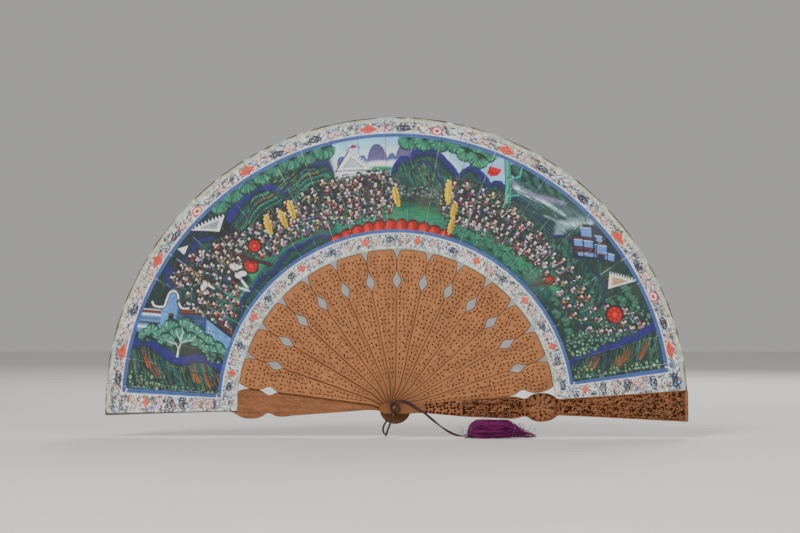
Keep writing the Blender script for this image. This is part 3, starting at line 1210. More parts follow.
def paint_right_hills(canvas):
    where, S, R = canvas.window(418, 504, 192, PICTURE_HIGH)
    ends = np.clip((S - 422) / 6, 0, 1)
    canvas.bands(where, R - 0.35 * (S - 450) + 3 * canvas.medium[where],
                 [(190, INK), (205, PINE), (218, (34, 74, 70)), (230, (80, 116, 122)),
                  (240, (40, 76, 78)), (250, PINE)], ends + 0 * R)
    for s, r, size in ((425, 244, 13), (434, 241, 12), (443, 243, 11), (452, 245, 10),
                       (430, 236, 10), (462, 246, 9)):
        foliage(canvas, s, r, size, -0.6, (54, 120, 106), 35)
    canvas.stroke([(424, 232), (434, 229), (446, 231), (456, 236), (468, 242)], (7.0, 4.0),
                  (136, 132, 160), soft=2.0, cover=0.9)
    canvas.stroke([(430, 229), (442, 228), (456, 232), (474, 234)], (4.0, 3.0), (196, 202, 206),
                  soft=2.0, cover=0.8)
    ridge(canvas, [(427, 222), (438, 224), (450, 222), (464, 219), (478, 214), (490, 206)], 30,
          -0.55, 0.8, 60, [TEAL, PINE])
    for i in range(15):
        t = np.linspace(0, 1, 9)
        s0, r0 = 427 + 2.6 * i, 226 - 2.1 * i
        path = np.stack([s0 + 38 * t, r0 + 7 * t - 3 * t * t + 0.8 * np.sin(5 * t + i)], 1)
        canvas.stroke(path, (0.5, 0.9), INK, cover=0.7)
        canvas.stroke(path + (0.6, 0.9), (0.4, 0.6), (92, 140, 130), cover=0.7)
    canvas.stroke([(496, 250), (486, 238), (478, 224), (486, 212), (484, 200)], (8, 12),
                  (128, 150, 156), soft=3.0, cover=0.9)
    canvas.stroke([(494, 246), (482, 230), (474, 226), (462, 222)], (5, 2), (170, 184, 186),
                  soft=2.0, cover=0.7)
    rock_strokes(canvas, 436, 492, 218, 244, 0.1, [(170, 184, 186), TEAL, (90, 116, 122), PINE], 130,
                 9, 0.6, 0.5)
    where, S, R = canvas.window(492, 586, PICTURE_LOW, PICTURE_HIGH)
    canvas.bands(where, R - 0.5 * (S - 520) + 3 * canvas.medium[where],
                 [(160, PINE), (178, TEAL), (188, (34, 96, 74)), (204, PINE), (226, (24, 62, 56)),
                  (244, PINE)], np.clip((S - 494) / 4, 0, 1) + 0 * R)
    rock_strokes(canvas, 486, 586, 166, 246, -0.7, [PINE, TEAL, INK, JADE, MOSS, (90, 130, 110)],
                 640, 8, 0.75, 0.6)
    ridge(canvas, [(478, 214), (486, 221), (494, 224), (502, 222), (510, 214)], 18, -1.0, 0.8, 80,
          [(96, 140, 120), PINE, INK, JADE])
    ridge(canvas, [(520, 216), (528, 222), (538, 222), (548, 216), (556, 208)], 18, -1.0, 0.8, 80,
          [(96, 140, 120), PINE, INK, JADE])
    paint_pavilion(canvas)
    trunk = [(414, 248), (419, 237), (424, 226), (429, 214), (430, 206)]
    canvas.stroke(trunk, (4.8, 7.6), INK, cover=0.7)
    canvas.stroke(trunk, (3.6, 6.2), (84, 168, 150))
    canvas.stroke(np.array(trunk) + (1.0, 0), (0.5, 1.4), TEAL, cover=0.8)
    canvas.stroke([(421, 232), (428, 240), (426, 248)], (2.0, 1.0), (84, 170, 150))
    canvas.stroke([(427, 219), (434, 224), (433, 231)], (1.6, 0.8), (84, 170, 150))
    for s, r in ((420, 234), (425, 222), (429, 211), (431, 213)):
        canvas.dab(s, r, 1.3, 1.9, INK)
    canvas.dab(510, 184, 30, 11, (54, 150, 104), -8, 0.8, 4)
    for s, r in ((552, 236), (558, 228), (562, 238), (570, 232), (556, 218), (574, 222),
                 (528, 176), (540, 170), (552, 174), (564, 172), (574, 180)):
        foliage(canvas, s, r, 9.0, 1.0, (96, 160, 112))


def paint_pavilion(canvas):
    """Pale blue halls between russet fences and dark posts."""
    s, r, wall = 506, 236, (118, 150, 196)
    canvas.shape(upright(s, r, [(-20, -15), (-19, 4), (-10, 8), (-8, 15), (4, 13), (22, -15)]), NAVY,
                 soft=1.2, cover=0.85)
    for x, y, wide, tall in ((-6, 8, 9, 8), (-14, -1, 8, 6), (-5, -2, 8, 6), (6, -6, 11, 8),
                             (13, -11, 8, 6), (-6, -11, 17, 3.5), (4, 3, 6, 5)):
        box = [(x - wide / 2, y - tall / 2), (x + wide / 2, y - tall / 2 - 0.6),
               (x + wide / 2, y + tall / 2 - 0.6), (x - wide / 2, y + tall / 2)]
        canvas.shape(upright(s, r, box), wall, soft=0.4)
        canvas.stroke(upright(s, r, box[2:]), 0.7, (206, 216, 226), cover=0.8)
        canvas.stroke(upright(s, r, box[:2]), 0.8, INK, cover=0.8)
    for y, low, high in ((3.4, -20, -2), (-5.5, -20, 2), (-9.0, -16, 10), (-0.5, 2, 10)):
        canvas.stroke(upright(s, r, [(low, y), (high, y - 0.8)]), 0.9, BRICK, cover=0.9)
    for x in (-18, -9.5, -0.5, 1.5, 11):
        canvas.stroke(upright(s, r, [(x, -14), (x + 0.3, 4)]), 0.9, INK, cover=0.8)


def paint_right_end(canvas):
    canvas.shape([(618, 163), (618, 248), (582, 248), (592, 163)], PINE, soft=2.0)
    rock_strokes(canvas, 592, 617, 164, 247, -0.5, [TEAL, JADE, PINE, INK, MOSS, (36, 66, 110)],
                 300, 15, 0.95, 0.8)
    rust_stripes(canvas, from_right, (4, 0, -5),
                 ((20, 15, 13), (44, 14, 13), (48, 16, 11), (66, 19, 15)))
    rock_strokes(canvas, 594, 616, 166, 246, -0.5, [INK, (150, 160, 90), JADE], 80, 12, 0.45, 0.8)
    pebbles(canvas, 610.5, 617, 166, 246, 56, (134, 156, 118))
    pebbles(canvas, 604, 611, 166, 182, 12, (150, 148, 84))
    pebbles(canvas, 568, 589, 166, 246, 170, (112, 150, 122))
    blue_band(canvas, from_right([(0, 17), (8, 21), (15, 24), (26, 24), (34, 26), (44, 26),
                                  (52, 30), (62, 31), (70, 35), (80, 38)]), 6.0)
    pebbles(canvas, 586, 592, 168, 190, 16, (140, 176, 130))


def paint_cushions(canvas):
    """A row of scarlet draped seats along the foot of the picture."""
    for s in np.arange(259, 393, 12.5):
        tall = 9.5 - 0.0011 * (s - 327) ** 2
        canvas.dab(s, 163.4, 17, 2 * tall + 1.4, (84, 16, 20), soft=0.4)
        canvas.dab(s - 0.3, 163.0, 15.5, 2 * tall - 1.0, (172, 36, 32), soft=0.8)
        canvas.dab(s - 2.4, 163.4, 6, 2 * tall - 3.4, (202, 62, 44), soft=1.2, cover=0.8)
        canvas.stroke([(s + 5.4, 164), (s + 5.8, 168)], 0.7, (84, 16, 22), cover=0.9)


BANNERS = [(202, 204, 18, -5), (216.5, 201, 16, -6), (227.5, 205, 17, -5), (327.5, 193, 18, -4),
           (376, 203, 23, 1), (385.5, 188, 15, 3), (387.5, 174, 16, 4)]
DISCS = [(180, 196.5, 12), (164, 185.5, 14), (507, 182.5, 9), (566, 217, 15)]
CARRIED = ([(s, r, 3.6, tall / 2 + 1) for s, r, tall, _ in BANNERS]
           + [(s, r, size * 0.55, size * 0.5) for s, r, size in DISCS]
           + [(149, 187, 7, 11), (164, 237, 13, 8), (544, 232, 9, 12), (407, 234, 6, 5),
              (101, 232, 9, 13), (428, 222, 5, 16)])
ROBES = [(60, 40, 66), (84, 36, 58), (44, 40, 66), (96, 44, 50), (50, 62, 84), (36, 72, 64),
         (126, 96, 110), (76, 58, 54), (64, 52, 96), (124, 48, 44), (58, 88, 98), (104, 54, 84),
         (150, 140, 146), (52, 64, 56), (110, 84, 60)]
TRIMS = [WHITE, WHITE, (214, 196, 214), (200, 120, 136), SCARLET, (110, 140, 184), (120, 176, 150),
         (214, 190, 110)]


CROWD_LEFT, CROWD_RIGHT = 97, 583
CLEARING_LEFT, CLEARING_RIGHT = 329, 373  # no one stands between these
THIN_CROWD = 488  # from here on people stand further apart
CREASE_CLEAR = 2.2

def crowd_limits(s):
    """How low and how high the crowd's heads stand at s."""
    places = (96, 108, 126, 146, 166, 186, 206, 236, 262, 286, 318, 330, 372, 378, 400, 440,
              470, 488, 500, 530, 552, 566, 582)
    low = (172, 172, 173, 190, 200, 184, 184, 182, 180, 178, 180, 194, 194, 184, 181, 183,
           184, 188, 184, 184, 184, 186, 198)
    high = (222, 240, 240, 228, 222, 212, 216, 213, 219, 217, 217, 205, 198, 216, 217, 214,
            208, 202, 206, 208, 208, 230, 240)
    return np.interp(s, places, low), np.interp(s, places, high)


def crowd_places(random):
    """Where each head is, no two alike in their spacing, and thinner to the right."""
    placed = []
    for _ in range(14000):
        s = random.uniform(CROWD_LEFT, CROWD_RIGHT)
        low, high = crowd_limits(s)
        if CLEARING_LEFT < s < CLEARING_RIGHT or high - low < 8:
            continue
        r = random.uniform(low, high)
        if any(abs(s - a) < w and abs(r + 1 - b) < h for a, b, w, h in CARRIED):
            continue
        gap = random.uniform(6.0, 8.2) if s < THIN_CROWD else random.uniform(7.4, 10.4)
        if all((s - a) ** 2 + (1.1 * (r - b)) ** 2 > gap * gap for a, b in placed):
            placed.append((s, r))
    return placed


def keep_off_creases(s):
    """Moves a head away from its panel's edges, so that no crease cuts it."""
    panel = math.floor(s / FACET_MM)
    return float(np.clip(s, panel * FACET_MM + CREASE_CLEAR,
                         (panel + 1) * FACET_MM - CREASE_CLEAR))


def paint_throng(canvas):
    """The half-seen people between the nearer ones: dark touches, with a few pale slivers."""
    random = canvas.random
    shades = [INK, (74, 30, 44), (50, 40, 66), PINE, UMBER, (84, 60, 50), (60, 34, 58), INK]
    for i in range(4200):
        s = random.uniform(CROWD_LEFT, CROWD_RIGHT)
        low, high = crowd_limits(s)
        r = random.uniform(low - 6, high + 1)
        if CLEARING_LEFT + 2 < s < CLEARING_RIGHT - 2:
            continue
        if s > THIN_CROWD and random.uniform() < 0.75:
            continue
        if i % 4:
            canvas.dab(s, r, random.uniform(1.6, 3.6), random.uniform(0.9, 1.7),
                       jitter(canvas, pick(canvas, shades), 0.2), random.uniform(-70, 70), cover=0.8,
                       soft=0.3)
        else:
            canvas.dab(s, r, random.uniform(1.0, 2.2), random.uniform(0.45, 0.8),
                       pick(canvas, TRIMS), random.uniform(-70, 70), cover=0.85, soft=0.25)


def paint_figure(canvas, s, r, random):
    """The body below a head: a dark robe, sleeves, and pale cuffs, collars and sashes."""
    robe = 0.85 * np.array(pick(canvas, ROBES), float)
    lean = random.uniform(-1.8, 1.8)
    side = 1 if lean > 0 else -1
    canvas.dab(s + lean * 0.5, r - 3.6, 6.8, 8.4, INK, cover=0.65, soft=0.6)
    canvas.dab(s + lean * 0.4, r - 4.3, 5.2, 6.2, robe, lean * 8, soft=0.4)
    for arm in (-1, 1):
        canvas.dab(s + arm * 2.1 + lean * 0.3, r - 3.0 + random.uniform(-0.8, 0.8), 2.6, 1.4,
                   np.clip(robe * 1.5 + 10, 0, 255), arm * random.uniform(-50, 50), soft=0.3)
    for _ in range(5):
        trim = pick(canvas, TRIMS)
        x, y = s + random.uniform(-2.8, 2.8), r - random.uniform(1.6, 6.4)
        canvas.dab(x, y, random.uniform(1.4, 3.0), random.uniform(0.55, 0.95), trim,
                   random.uniform(-60, 60), cover=0.9, soft=0.25)
    canvas.stroke([(s - 0.9, r - 1.7), (s + 0.1, r - 2.7), (s + 1.0, r - 1.7)], 0.45,
                  pick(canvas, TRIMS), cover=0.9, soft=0.25)
    if random.uniform() < 0.35:
        canvas.dab(s, r - 6.6, 2.8, 1.5, pick(canvas, [(86, 24, 30), TEAL, WHITE, (110, 90, 60)]),
                   side * 12, cover=0.85)
    if random.uniform() < 0.3:
        canvas.stroke([(s + 2.2, r - 5.5), (s + 2.6 + lean * 1.6, r + 4.8)], 0.42,
                      pick(canvas, [WHITE, UMBER, STRAW, (150, 150, 150)]))
    if random.uniform() < 0.22:
        canvas.dab(s, r + 1.5, 4.4, 1.5, pick(canvas, [WHITE, (200, 190, 170), SCARLET]), side * 18,
                   cover=0.9)
    canvas.dab(s, r + 1.6, 3.6, 2.2, INK, cover=0.95)


def paint_emblems(canvas):
    """The larger things carried in the crowd: standards, discs, lanterns and a white horse."""
    for s, r, tall, turn in BANNERS:
        banner(canvas, s, r, tall, turn)
    tent(canvas, [(151.5, 247.5), (177, 235), (166, 228)], (120, 130, 138))
    canvas.shape([(134, 247), (141, 241), (133.5, 239)], WHITE)
    tent(canvas, [(549, 247), (534, 230), (544, 222)], (150, 120, 84))
    for s, r, size in DISCS:
        canvas.dab(s, r, size * 1.12, size * 1.12, INK, soft=0.6, cover=0.8)
        canvas.dab(s, r, size, size, (96, 18, 24), soft=0.5)
        canvas.dab(s, r, size * 0.86, size * 0.86, SCARLET, soft=0.6)
        for turn in range(0, 360, 45):
            a = math.radians(turn)
            canvas.dab(s + size * 0.27 * math.cos(a), r + size * 0.27 * math.sin(a), size * 0.24,
                       size * 0.1, (140, 22, 26), turn, cover=0.7)
        canvas.dab(s, r, size * 0.24, size * 0.24, (222, 90, 60), cover=0.8)
    canvas.shape([(403, 237), (413, 238.5), (412, 232), (407, 228.5), (402.5, 231)], SCARLET)
    canvas.stroke([(404, 234), (408, 232), (412, 235)], 0.7, (130, 20, 24), cover=0.8)
    canvas.stroke([(160, 203), (168, 190), (180, 174)], 3.8, INK)
    canvas.stroke([(160, 203), (168, 190), (180, 174)], 2.4, (84, 30, 34))
    canvas.stroke([(500, 169), (508, 180), (511, 196)], 2.6, (90, 40, 36))
    canvas.dab(148, 188, 17, 26, INK, 15, cover=0.5, soft=2.0)
    for s, r, length, width, turn in ((152, 196, 6, 9, 20), (149, 188, 8, 6, -30),
                                      (146, 180, 2.6, 14, -14), (141, 176, 2.2, 12, 24),
                                      (153, 186, 5, 7, 30), (156, 192, 4, 3, 0),
                                      (121, 208, 9, 5, 10), (117, 203, 5, 3, -20),
                                      (124, 202, 2, 8, 0)):
        canvas.dab(s, r, length, width, WHITE, turn, soft=0.5)
    canvas.dab(139, 194, 12, 12, (30, 44, 66), soft=0.8)
    canvas.dab(139, 194, 7, 7, (52, 70, 100), soft=1.5)
    for s, r in ((150, 190), (153, 196), (147, 184), (151, 193), (120, 207), (117, 202), (122, 210)):
        canvas.dab(s, r, 2.4, 1.0, (60, 80, 120), 30)
    canvas.stroke([(136, 182), (140, 186), (139, 190)], 1.0, SCARLET)


# The border and its motifs.

def knot_motif(canvas, s, r, size):
    """An endless knot: a lozenge of crossing bands."""
    colour, tall = (196, 54, 34), 0.7
    canvas.shape([(s - size * 0.62, r), (s, r + size * tall * 0.6), (s + size * 0.62, r),
                  (s, r - size * tall * 0.6)], PEARL, soft=0.8)
    canvas.shape([(s - size * 0.54, r), (s, r + size * tall * 0.54), (s + size * 0.54, r),
                  (s, r - size * tall * 0.54)], colour, soft=0.4)
    for i in range(-2, 3):
        for j in range(-2, 3):
            if abs(i) + abs(j) < 4:
                canvas.dab(s + (i + j) * size * 0.115, r + (i - j) * size * tall * 0.115, 1.2, 0.85,
                           (226, 206, 196), cover=0.6, soft=0.25)


def blossom_motif(canvas, s, r, size, colour=(226, 214, 208), edge=(144, 84, 94)):
    """Three open blossoms close together."""
    for dx, dr, part in ((-0.32, 0.05, 0.6), (0.3, 0.14, 0.55), (0.02, -0.24, 0.5)):
        x, y, wide = s + dx * size, r + dr * size, part * size
        for turn in range(0, 360, 60):
            a = math.radians(turn)
            canvas.dab(x + wide * 0.27 * math.cos(a), y + wide * 0.27 * math.sin(a), wide * 0.46,
                       wide * 0.4, edge, turn, cover=0.75, soft=0.3)
            canvas.dab(x + wide * 0.25 * math.cos(a), y + wide * 0.25 * math.sin(a), wide * 0.3,
                       wide * 0.26, colour, turn, soft=0.3)
        canvas.dab(x, y, wide * 0.24, wide * 0.24, (214, 170, 90), soft=0.25)


def disc_motif(canvas, s, r, size):
    colour = (192, 50, 44)
    canvas.dab(s, r, size * 1.15, size * 0.9, WHITE, cover=0.8)
    canvas.ring(s, r, size * 0.9, 1.1, colour)
    canvas.dab(s, r, size * 0.42, size * 0.36, colour)


def fret_motif(canvas, s, r, size):
    """Interlaced rings."""
    for dx, part in ((-0.3, 0.5), (0.0, 0.62), (0.3, 0.5)):
        canvas.ring(s + dx * size, r, part * size * 0.95, 0.85, NAVY)
    canvas.dab(s, r, size * 0.16, size * 0.16, NAVY, soft=0.25)
    for dx in (-0.62, 0.62):
        canvas.dab(s + dx * size, r, 1.6, 0.8, NAVY, soft=0.25)


def leaf_sprig(canvas, s, r, size, colour, turn):
    a = math.radians(turn)
    tip = (s + size * math.cos(a), r + 0.6 * size * math.sin(a))
    canvas.stroke([(s, r), tip], 0.45, colour, cover=0.9, soft=0.25)
    for t in (0.35, 0.65, 0.95):
        canvas.dab(s + (tip[0] - s) * t, r + (tip[1] - r) * t + 0.5, 1.5, 0.8, colour, turn + 40,
                   soft=0.25, cover=0.9)


SMALL_TONES = [(80, 102, 152), (96, 120, 160), (36, 44, 84), (44, 54, 88), (70, 110, 98),
               (150, 88, 92), (166, 70, 52), (190, 164, 162), WHITE, WHITE, WHITE, WHITE,
               (160, 140, 96), (84, 72, 100), (60, 90, 78), (108, 124, 130), (96, 98, 90)]


def scatter_border(canvas, s_low, s_high, r_low, r_high, count):
    """Small curls, dots and leaves between the border's motifs."""
    random = canvas.random
    for _ in range(count):
        s, r = random.uniform(s_low, s_high), random.uniform(r_low, r_high)
        tone = jitter(canvas, pick(canvas, SMALL_TONES), 0.12)
        kind = random.uniform()
        if kind < 0.5:
            start, sweep = random.uniform(0, 6.3), random.uniform(1.6, 4.4)
            size = random.uniform(0.6, 1.5)
            turn = np.linspace(start, start + sweep, 6)
            curl = np.stack([s + size * np.cos(turn), r + 0.8 * size * np.sin(turn)], 1)
            canvas.stroke(curl, 0.58, tone, cover=0.9, soft=0.25)
        elif kind < 0.85:
            canvas.dab(s, r, random.uniform(0.9, 2.2), random.uniform(0.6, 1.2), tone,
                       random.uniform(0, 180), cover=0.85, soft=0.25)
        else:
            leaf_sprig(canvas, s, r, random.uniform(1.8, 3.4), tone, random.uniform(0, 360))


OUTER_KNOTS = (45.8, 118.6, 212.0, 307.0, 410.0, 514.8, 606.0)
OUTER_DISCS = (164.9, 357.4, 565.0)
OUTER_FRETS = (27.0, 78.6, 141.0, 237.0, 267.0, 333.0, 440.0, 476.5, 541.0, 586.0, 628.0)
OUTER_BLOSSOMS = (60.0, 92.0, 106.0, 152.0, 191.0, 247.5, 282.0, 320.0, 392.0, 425.0, 490.0, 500.0,
                  552.0, 597.0, 648.0)
INNER_KNOTS = (47.5, 122.0, 205.6, 290.0, 354.0, 430.0, 506.5, 572.0)
INNER_FRETS = (30.0, 82.0, 150.0, 190.0, 247.5, 320.0, 398.0, 470.0, 544.0, 591.0, 622.0)
INNER_BLOSSOMS = (64.0, 104.0, 136.0, 170.0, 226.0, 268.0, 305.0, 338.0, 374.0, 414.0, 450.0,
                  488.0, 524.0, 558.0, 606.0)


def paint_border(canvas):
    blue, rose = np.array((178, 190, 206.0)), np.array((200, 196, 190.0))
    ground = np.tile(np.array((188, 196, 186.0)), (*canvas.rgb.shape[:2], 1))
    tint = canvas.field(11.0, 1.6)[..., None]
    ground = ground + np.clip(tint, 0, 1) * 0.9 * (blue - ground)
    ground = ground + np.clip(-tint, 0, 1) * 0.6 * (rose - ground)
    canvas.rgb[:] = np.clip(ground * (1 + 0.1 * canvas.fine + 0.06 * canvas.medium)[..., None],
                            0, 255)
    scatter_border(canvas, 2, SPAN - 2, 250.6, 260.8, 3600)
    scatter_border(canvas, 2, SPAN - 2, 148.2, 159.4, 3400)
    scatter_border(canvas, 2, 15.4, 160, 251, 640)
    scatter_border(canvas, SPAN - 36, SPAN - 22, 160, 251, 640)
    outer, inner = 255.8, 153.6  # the middles of the two long borders
    for places, motif, size, middle in (
            (OUTER_BLOSSOMS, blossom_motif, 8.5, outer), (OUTER_FRETS, fret_motif, 8.0, outer),
            (OUTER_KNOTS, knot_motif, 12.5, outer), (OUTER_DISCS, disc_motif, 8.0, outer),
            (INNER_BLOSSOMS, blossom_motif, 8.0, inner), (INNER_FRETS, fret_motif, 8.0, inner),
            (INNER_KNOTS, knot_motif, 10.5, inner)):
        for s in places:
            motif(canvas, s, middle + canvas.random.uniform(-0.4, 0.4), size)
    for r_low, r_high in ((249.6, 251.0), (158.4, 160.2)):
        where = canvas.window(2, SPAN, r_low, r_high)[0]
        canvas.lay(where, 0.35 * np.clip(canvas.medium[where] + 0.4, 0, 1), (110, 134, 128))
    for s, rows in ((9.2, ((229, knot_motif), (217, blossom_motif), (207, fret_motif),
                           (196, fret_motif), (183, blossom_motif), (171, blossom_motif),
                           (240, blossom_motif))),
                    (SPAN - 29.5, ((236, fret_motif), (212, fret_motif), (201, blossom_motif),
                                   (190, fret_motif), (173.5, knot_motif), (224, blossom_motif)))):
        for r, motif in rows:
            motif(canvas, s, r, 9.0)
    canvas.stroke([(2, 261.2), (SPAN, 261.2)], 0.5, (120, 130, 140), cover=0.6)
    canvas.stroke([(2, 147.6), (SPAN, 147.6)], 0.5, (120, 130, 140), cover=0.5)
    left, right = PICTURE_LEFT - 2, PICTURE_RIGHT + 2
    low, high = PICTURE_LOW - 2, PICTURE_HIGH + 2
    frame_line = [(left, low), (left, high), (right, high), (right, low), (left, low)]
    for a, b in zip(frame_line[:-1], frame_line[1:]):
        canvas.stroke([a, b], 5.4, WHITE, soft=0.3)
        canvas.stroke([a, b], 3.8, FRAME_BLUE, soft=0.3)
        canvas.stroke([a, b], 0.8, (62, 84, 140), soft=0.4, cover=0.6)


def wear_creases(canvas):
    """Paint rubbed off along the folds, and dirt along the outer edge."""
    count = int(round(SPAN / FACET_MM))
    breaks = canvas.field(4.0, 0.3)
    for k in range(1, count):
        s = k * FACET_MM
        where, S, R = canvas.window(s - 1.6, s + 1.6, LEAF_INNER, LEAF_OUTER)
        line = np.clip(1 - np.abs(S - s + 0.25 * canvas.medium[where]) / 0.42, 0, 1)
        worn = np.clip(0.5 + 0.9 * breaks[where] + 0.25 * (k % 2), 0, 0.95)
        canvas.lay(where, line * worn * 0.85, (206, 214, 204))
        shade = np.clip(1 - np.abs(S - s - 0.75) / 0.5, 0, 1)
        canvas.lay(where, shade * 0.35, INK)
    where, S, R = canvas.window(0, SPAN, 259.5, LEAF_OUTER + 1)
    grime = np.clip((R - 260.2) / 3, 0, 1) * (0.34 + 0.3 * canvas.medium[where])
    canvas.lay(where, grime, (150, 146, 112))
    edge = np.clip((R - 264.6) / 0.5, 0, 1) * np.clip(0.6 + 1.1 * canvas.medium[where], 0, 1)
    canvas.lay(where, edge, (62, 46, 32))
    where, S, R = canvas.window(0, SPAN, LEAF_INNER - 1, 147.5)
    canvas.lay(where, np.clip((146.6 - R) / 0.7, 0, 1) * 0.5, (130, 128, 110))
    where, S, R = canvas.window(0, 3, LEAF_INNER - 1, LEAF_OUTER + 1)
    canvas.lay(where, np.clip((1.4 - S) / 0.5, 0, 1) * 0.85 + 0 * R, (70, 56, 42))


def paint_front():
    """The whole painted side. Returns the canvas and where the crowd's heads are."""
    canvas = Canvas(PEARL, 11)
    paint_border(canvas)
    where, S, R = canvas.window(PICTURE_LEFT, PICTURE_RIGHT, PICTURE_LOW, PICTURE_HIGH)
    canvas.lay(where, np.ones(np.broadcast(S, R).shape), PINE)
    border = canvas.rgb.copy()
    for layer in (paint_sky, paint_left_field, paint_middle, paint_right_hills, paint_right_end,
                  paint_left_end, paint_cushions):
        layer(canvas)
    heads = sorted(crowd_places(canvas.random), key=lambda p: -p[1])
    heads = [(keep_off_creases(s), r) for s, r in heads]
    paint_throng(canvas)
    for s, r in heads:
        paint_figure(canvas, s, r, canvas.random)
    paint_emblems(canvas)
    inside = np.zeros(canvas.rgb.shape[:2], bool)
    inside[where] = True
    canvas.rgb = np.where(inside[..., None], canvas.rgb, border)
    grit = (1 + 0.07 * canvas.field(0.9) + 0.05 * canvas.medium)[..., None]
    canvas.rgb = np.clip(canvas.rgb * grit, 0, 255)
    wear_creases(canvas)
    return canvas, heads


def paint_back():
    """The plain side: pale paper with a thin line, small sprigs and the marks of age."""
    canvas = Canvas((214, 209, 196), 23)
    canvas.rgb = np.clip(canvas.rgb * (1 + 0.03 * canvas.fine + 0.035 * canvas.broad)[..., None],
                         0, 255)
    for r in (152, 258):
        canvas.stroke([(4, r), (SPAN - 4, r)], 1.2, FRAME_BLUE, cover=0.8)
        canvas.stroke([(4, r + 2), (SPAN - 4, r + 2)], 0.5, (190, 160, 90), cover=0.8)
    for i, s in enumerate(np.arange(FACET_MM / 2, SPAN, FACET_MM)):
        r = 205 + 26 * (-1) ** i * (0.4 + 0.6 * (i % 3) / 2)
        colour = [(214, 130, 150), (110, 140, 190), (206, 96, 70)][i % 3]
        blossom_motif(canvas, s, r, 9.0, colour)
        for turn in (50, 130, 250, 310):
            leaf_sprig(canvas, s, r, 9.0, (84, 130, 96), turn)
        blossom_motif(canvas, s, 2 * LEAF_MIDDLE - r + 6 * (i % 2), 4.6, (150, 160, 200), (90, 110, 160))
    wear_creases(canvas)
    return canvas


def sample(canvas, s, r):
    """The canvas's colours at some points, as linear light."""
    x = np.clip(s / STEP, 0, len(canvas.s) - 1.001)
    y = np.clip((r - canvas.r[0]) / STEP, 0, len(canvas.r) - 1.001)
    i, j = y.astype(int), x.astype(int)
    u, v = (y - i)[:, None], (x - j)[:, None]
    p = canvas.rgb
    mixed = (p[i, j] * (1 - u) * (1 - v) + p[i, j + 1] * (1 - u) * v
             + p[i + 1, j] * u * (1 - v) + p[i + 1, j + 1] * u * v)
    return surface_colour(mixed)


PANEL_ROWS = 222
PANEL_COLUMNS = 41


def make_panel(name, start_deg, end_deg, front_y, back_y, front, back, material):
    """A thin closed sector between two angles. front_y and back_y give each side's y at a share
    of the way from start to end."""
    share = np.linspace(0, 1, PANEL_COLUMNS)
    middle, half = (start_deg + end_deg) / 2, (end_deg - start_deg) / 2
    degrees = start_deg + (end_deg - start_deg) * share
    chord = math.cos(math.radians(half)) / np.cos(np.radians(degrees - middle))
    radius = np.linspace(LEAF_INNER + 0.2, LEAF_OUTER, PANEL_ROWS)[:, None] * chord
    D, U = np.broadcast_to(degrees, radius.shape), np.broadcast_to(share, radius.shape)
    sides = [polar(radius, D, y_of(U)).reshape(-1, 3) for y_of in (front_y, back_y)]
    count = PANEL_ROWS * PANEL_COLUMNS
    faces = [grid_faces(PANEL_ROWS, PANEL_COLUMNS, 0, True),
             grid_faces(PANEL_ROWS, PANEL_COLUMNS, count)]
    low = np.arange(PANEL_COLUMNS)
    high = low + count - PANEL_COLUMNS
    right = np.arange(PANEL_ROWS) * PANEL_COLUMNS
    left = right + PANEL_COLUMNS - 1
    for line, flip in ((low, False), (high, True), (right, True), (left, False)):
        wall = np.stack([line[:-1], line[1:], line[1:] + count, line[:-1] + count], 1)
        faces.append(wall[:, ::-1] if not flip else wall)
    panel = make_object(name, np.concatenate(sides), np.concatenate(faces).tolist(), material)
    s, r = (LEFT_DEG - D.ravel()) * DEG_MM, radius.ravel()
    add_colours(panel, "paint", np.concatenate([sample(front, s, r), sample(back, s, r)]))
    return panel, np.tile(U.ravel(), 2)


FOLD_THICK = 0.25
PAPER_GAP = 0.02  # between a glued panel and a fold

def panel_span(k, fold):
    """The angles of both edges of glued panel k, or of the fold before it, and its front's y at
    each."""
    if fold:
        return (blade_deg(k - 1) + FACET_DEG / 2, blade_deg(k) - FACET_DEG / 2,
                faces_y(f"leaf_panel_{k - 1:02d}")[1] + PAPER_GAP,
                faces_y(f"leaf_panel_{k:02d}")[0] - PAPER_GAP - FOLD_THICK)
    y = faces_y(f"leaf_panel_{k:02d}")[0]
    return blade_deg(k) - FACET_DEG / 2, blade_deg(k) + FACET_DEG / 2, y, y

def bind(piece, k, fold):
    """Lets a glued piece ride its blade, and spreads a fold's piece between two blades."""
    if not fold:
        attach(piece, BODIES[k])
        return
    start, end, before, _ = panel_span(k, True)
    edges = [Vector(polar(LEAF_MIDDLE, d, before)) * MM for d in (start, end)]
    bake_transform(piece)

def make_leaf(front, back, material):
    """Sixteen glued panels and the fifteen folds between them."""
    for fold, kind, node in ((False, "glued", "leaf_panel"), (True, "fold", "leaf_fold")):
        for k in range(1 if fold else 0, STICKS + 2):
            start, end, before, after = panel_span(k, fold)
            thick = FOLD_THICK if fold else faces_y(f"leaf_panel_{k:02d}")[1] - before
            panel, share = make_panel(
                f"leaf_{k:02d}_{kind}", start, end, lambda u: before + (after - before) * u,
                lambda u: before + (after - before) * u + thick, front, back, material)
            bind(panel, k, fold)
            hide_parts(f"{node}_{k:02d}")

front_canvas, heads = paint_front()
make_leaf(front_canvas, paint_back(), painted_paper("painted_paper"))

# ---------------------------------------------------------------- blades

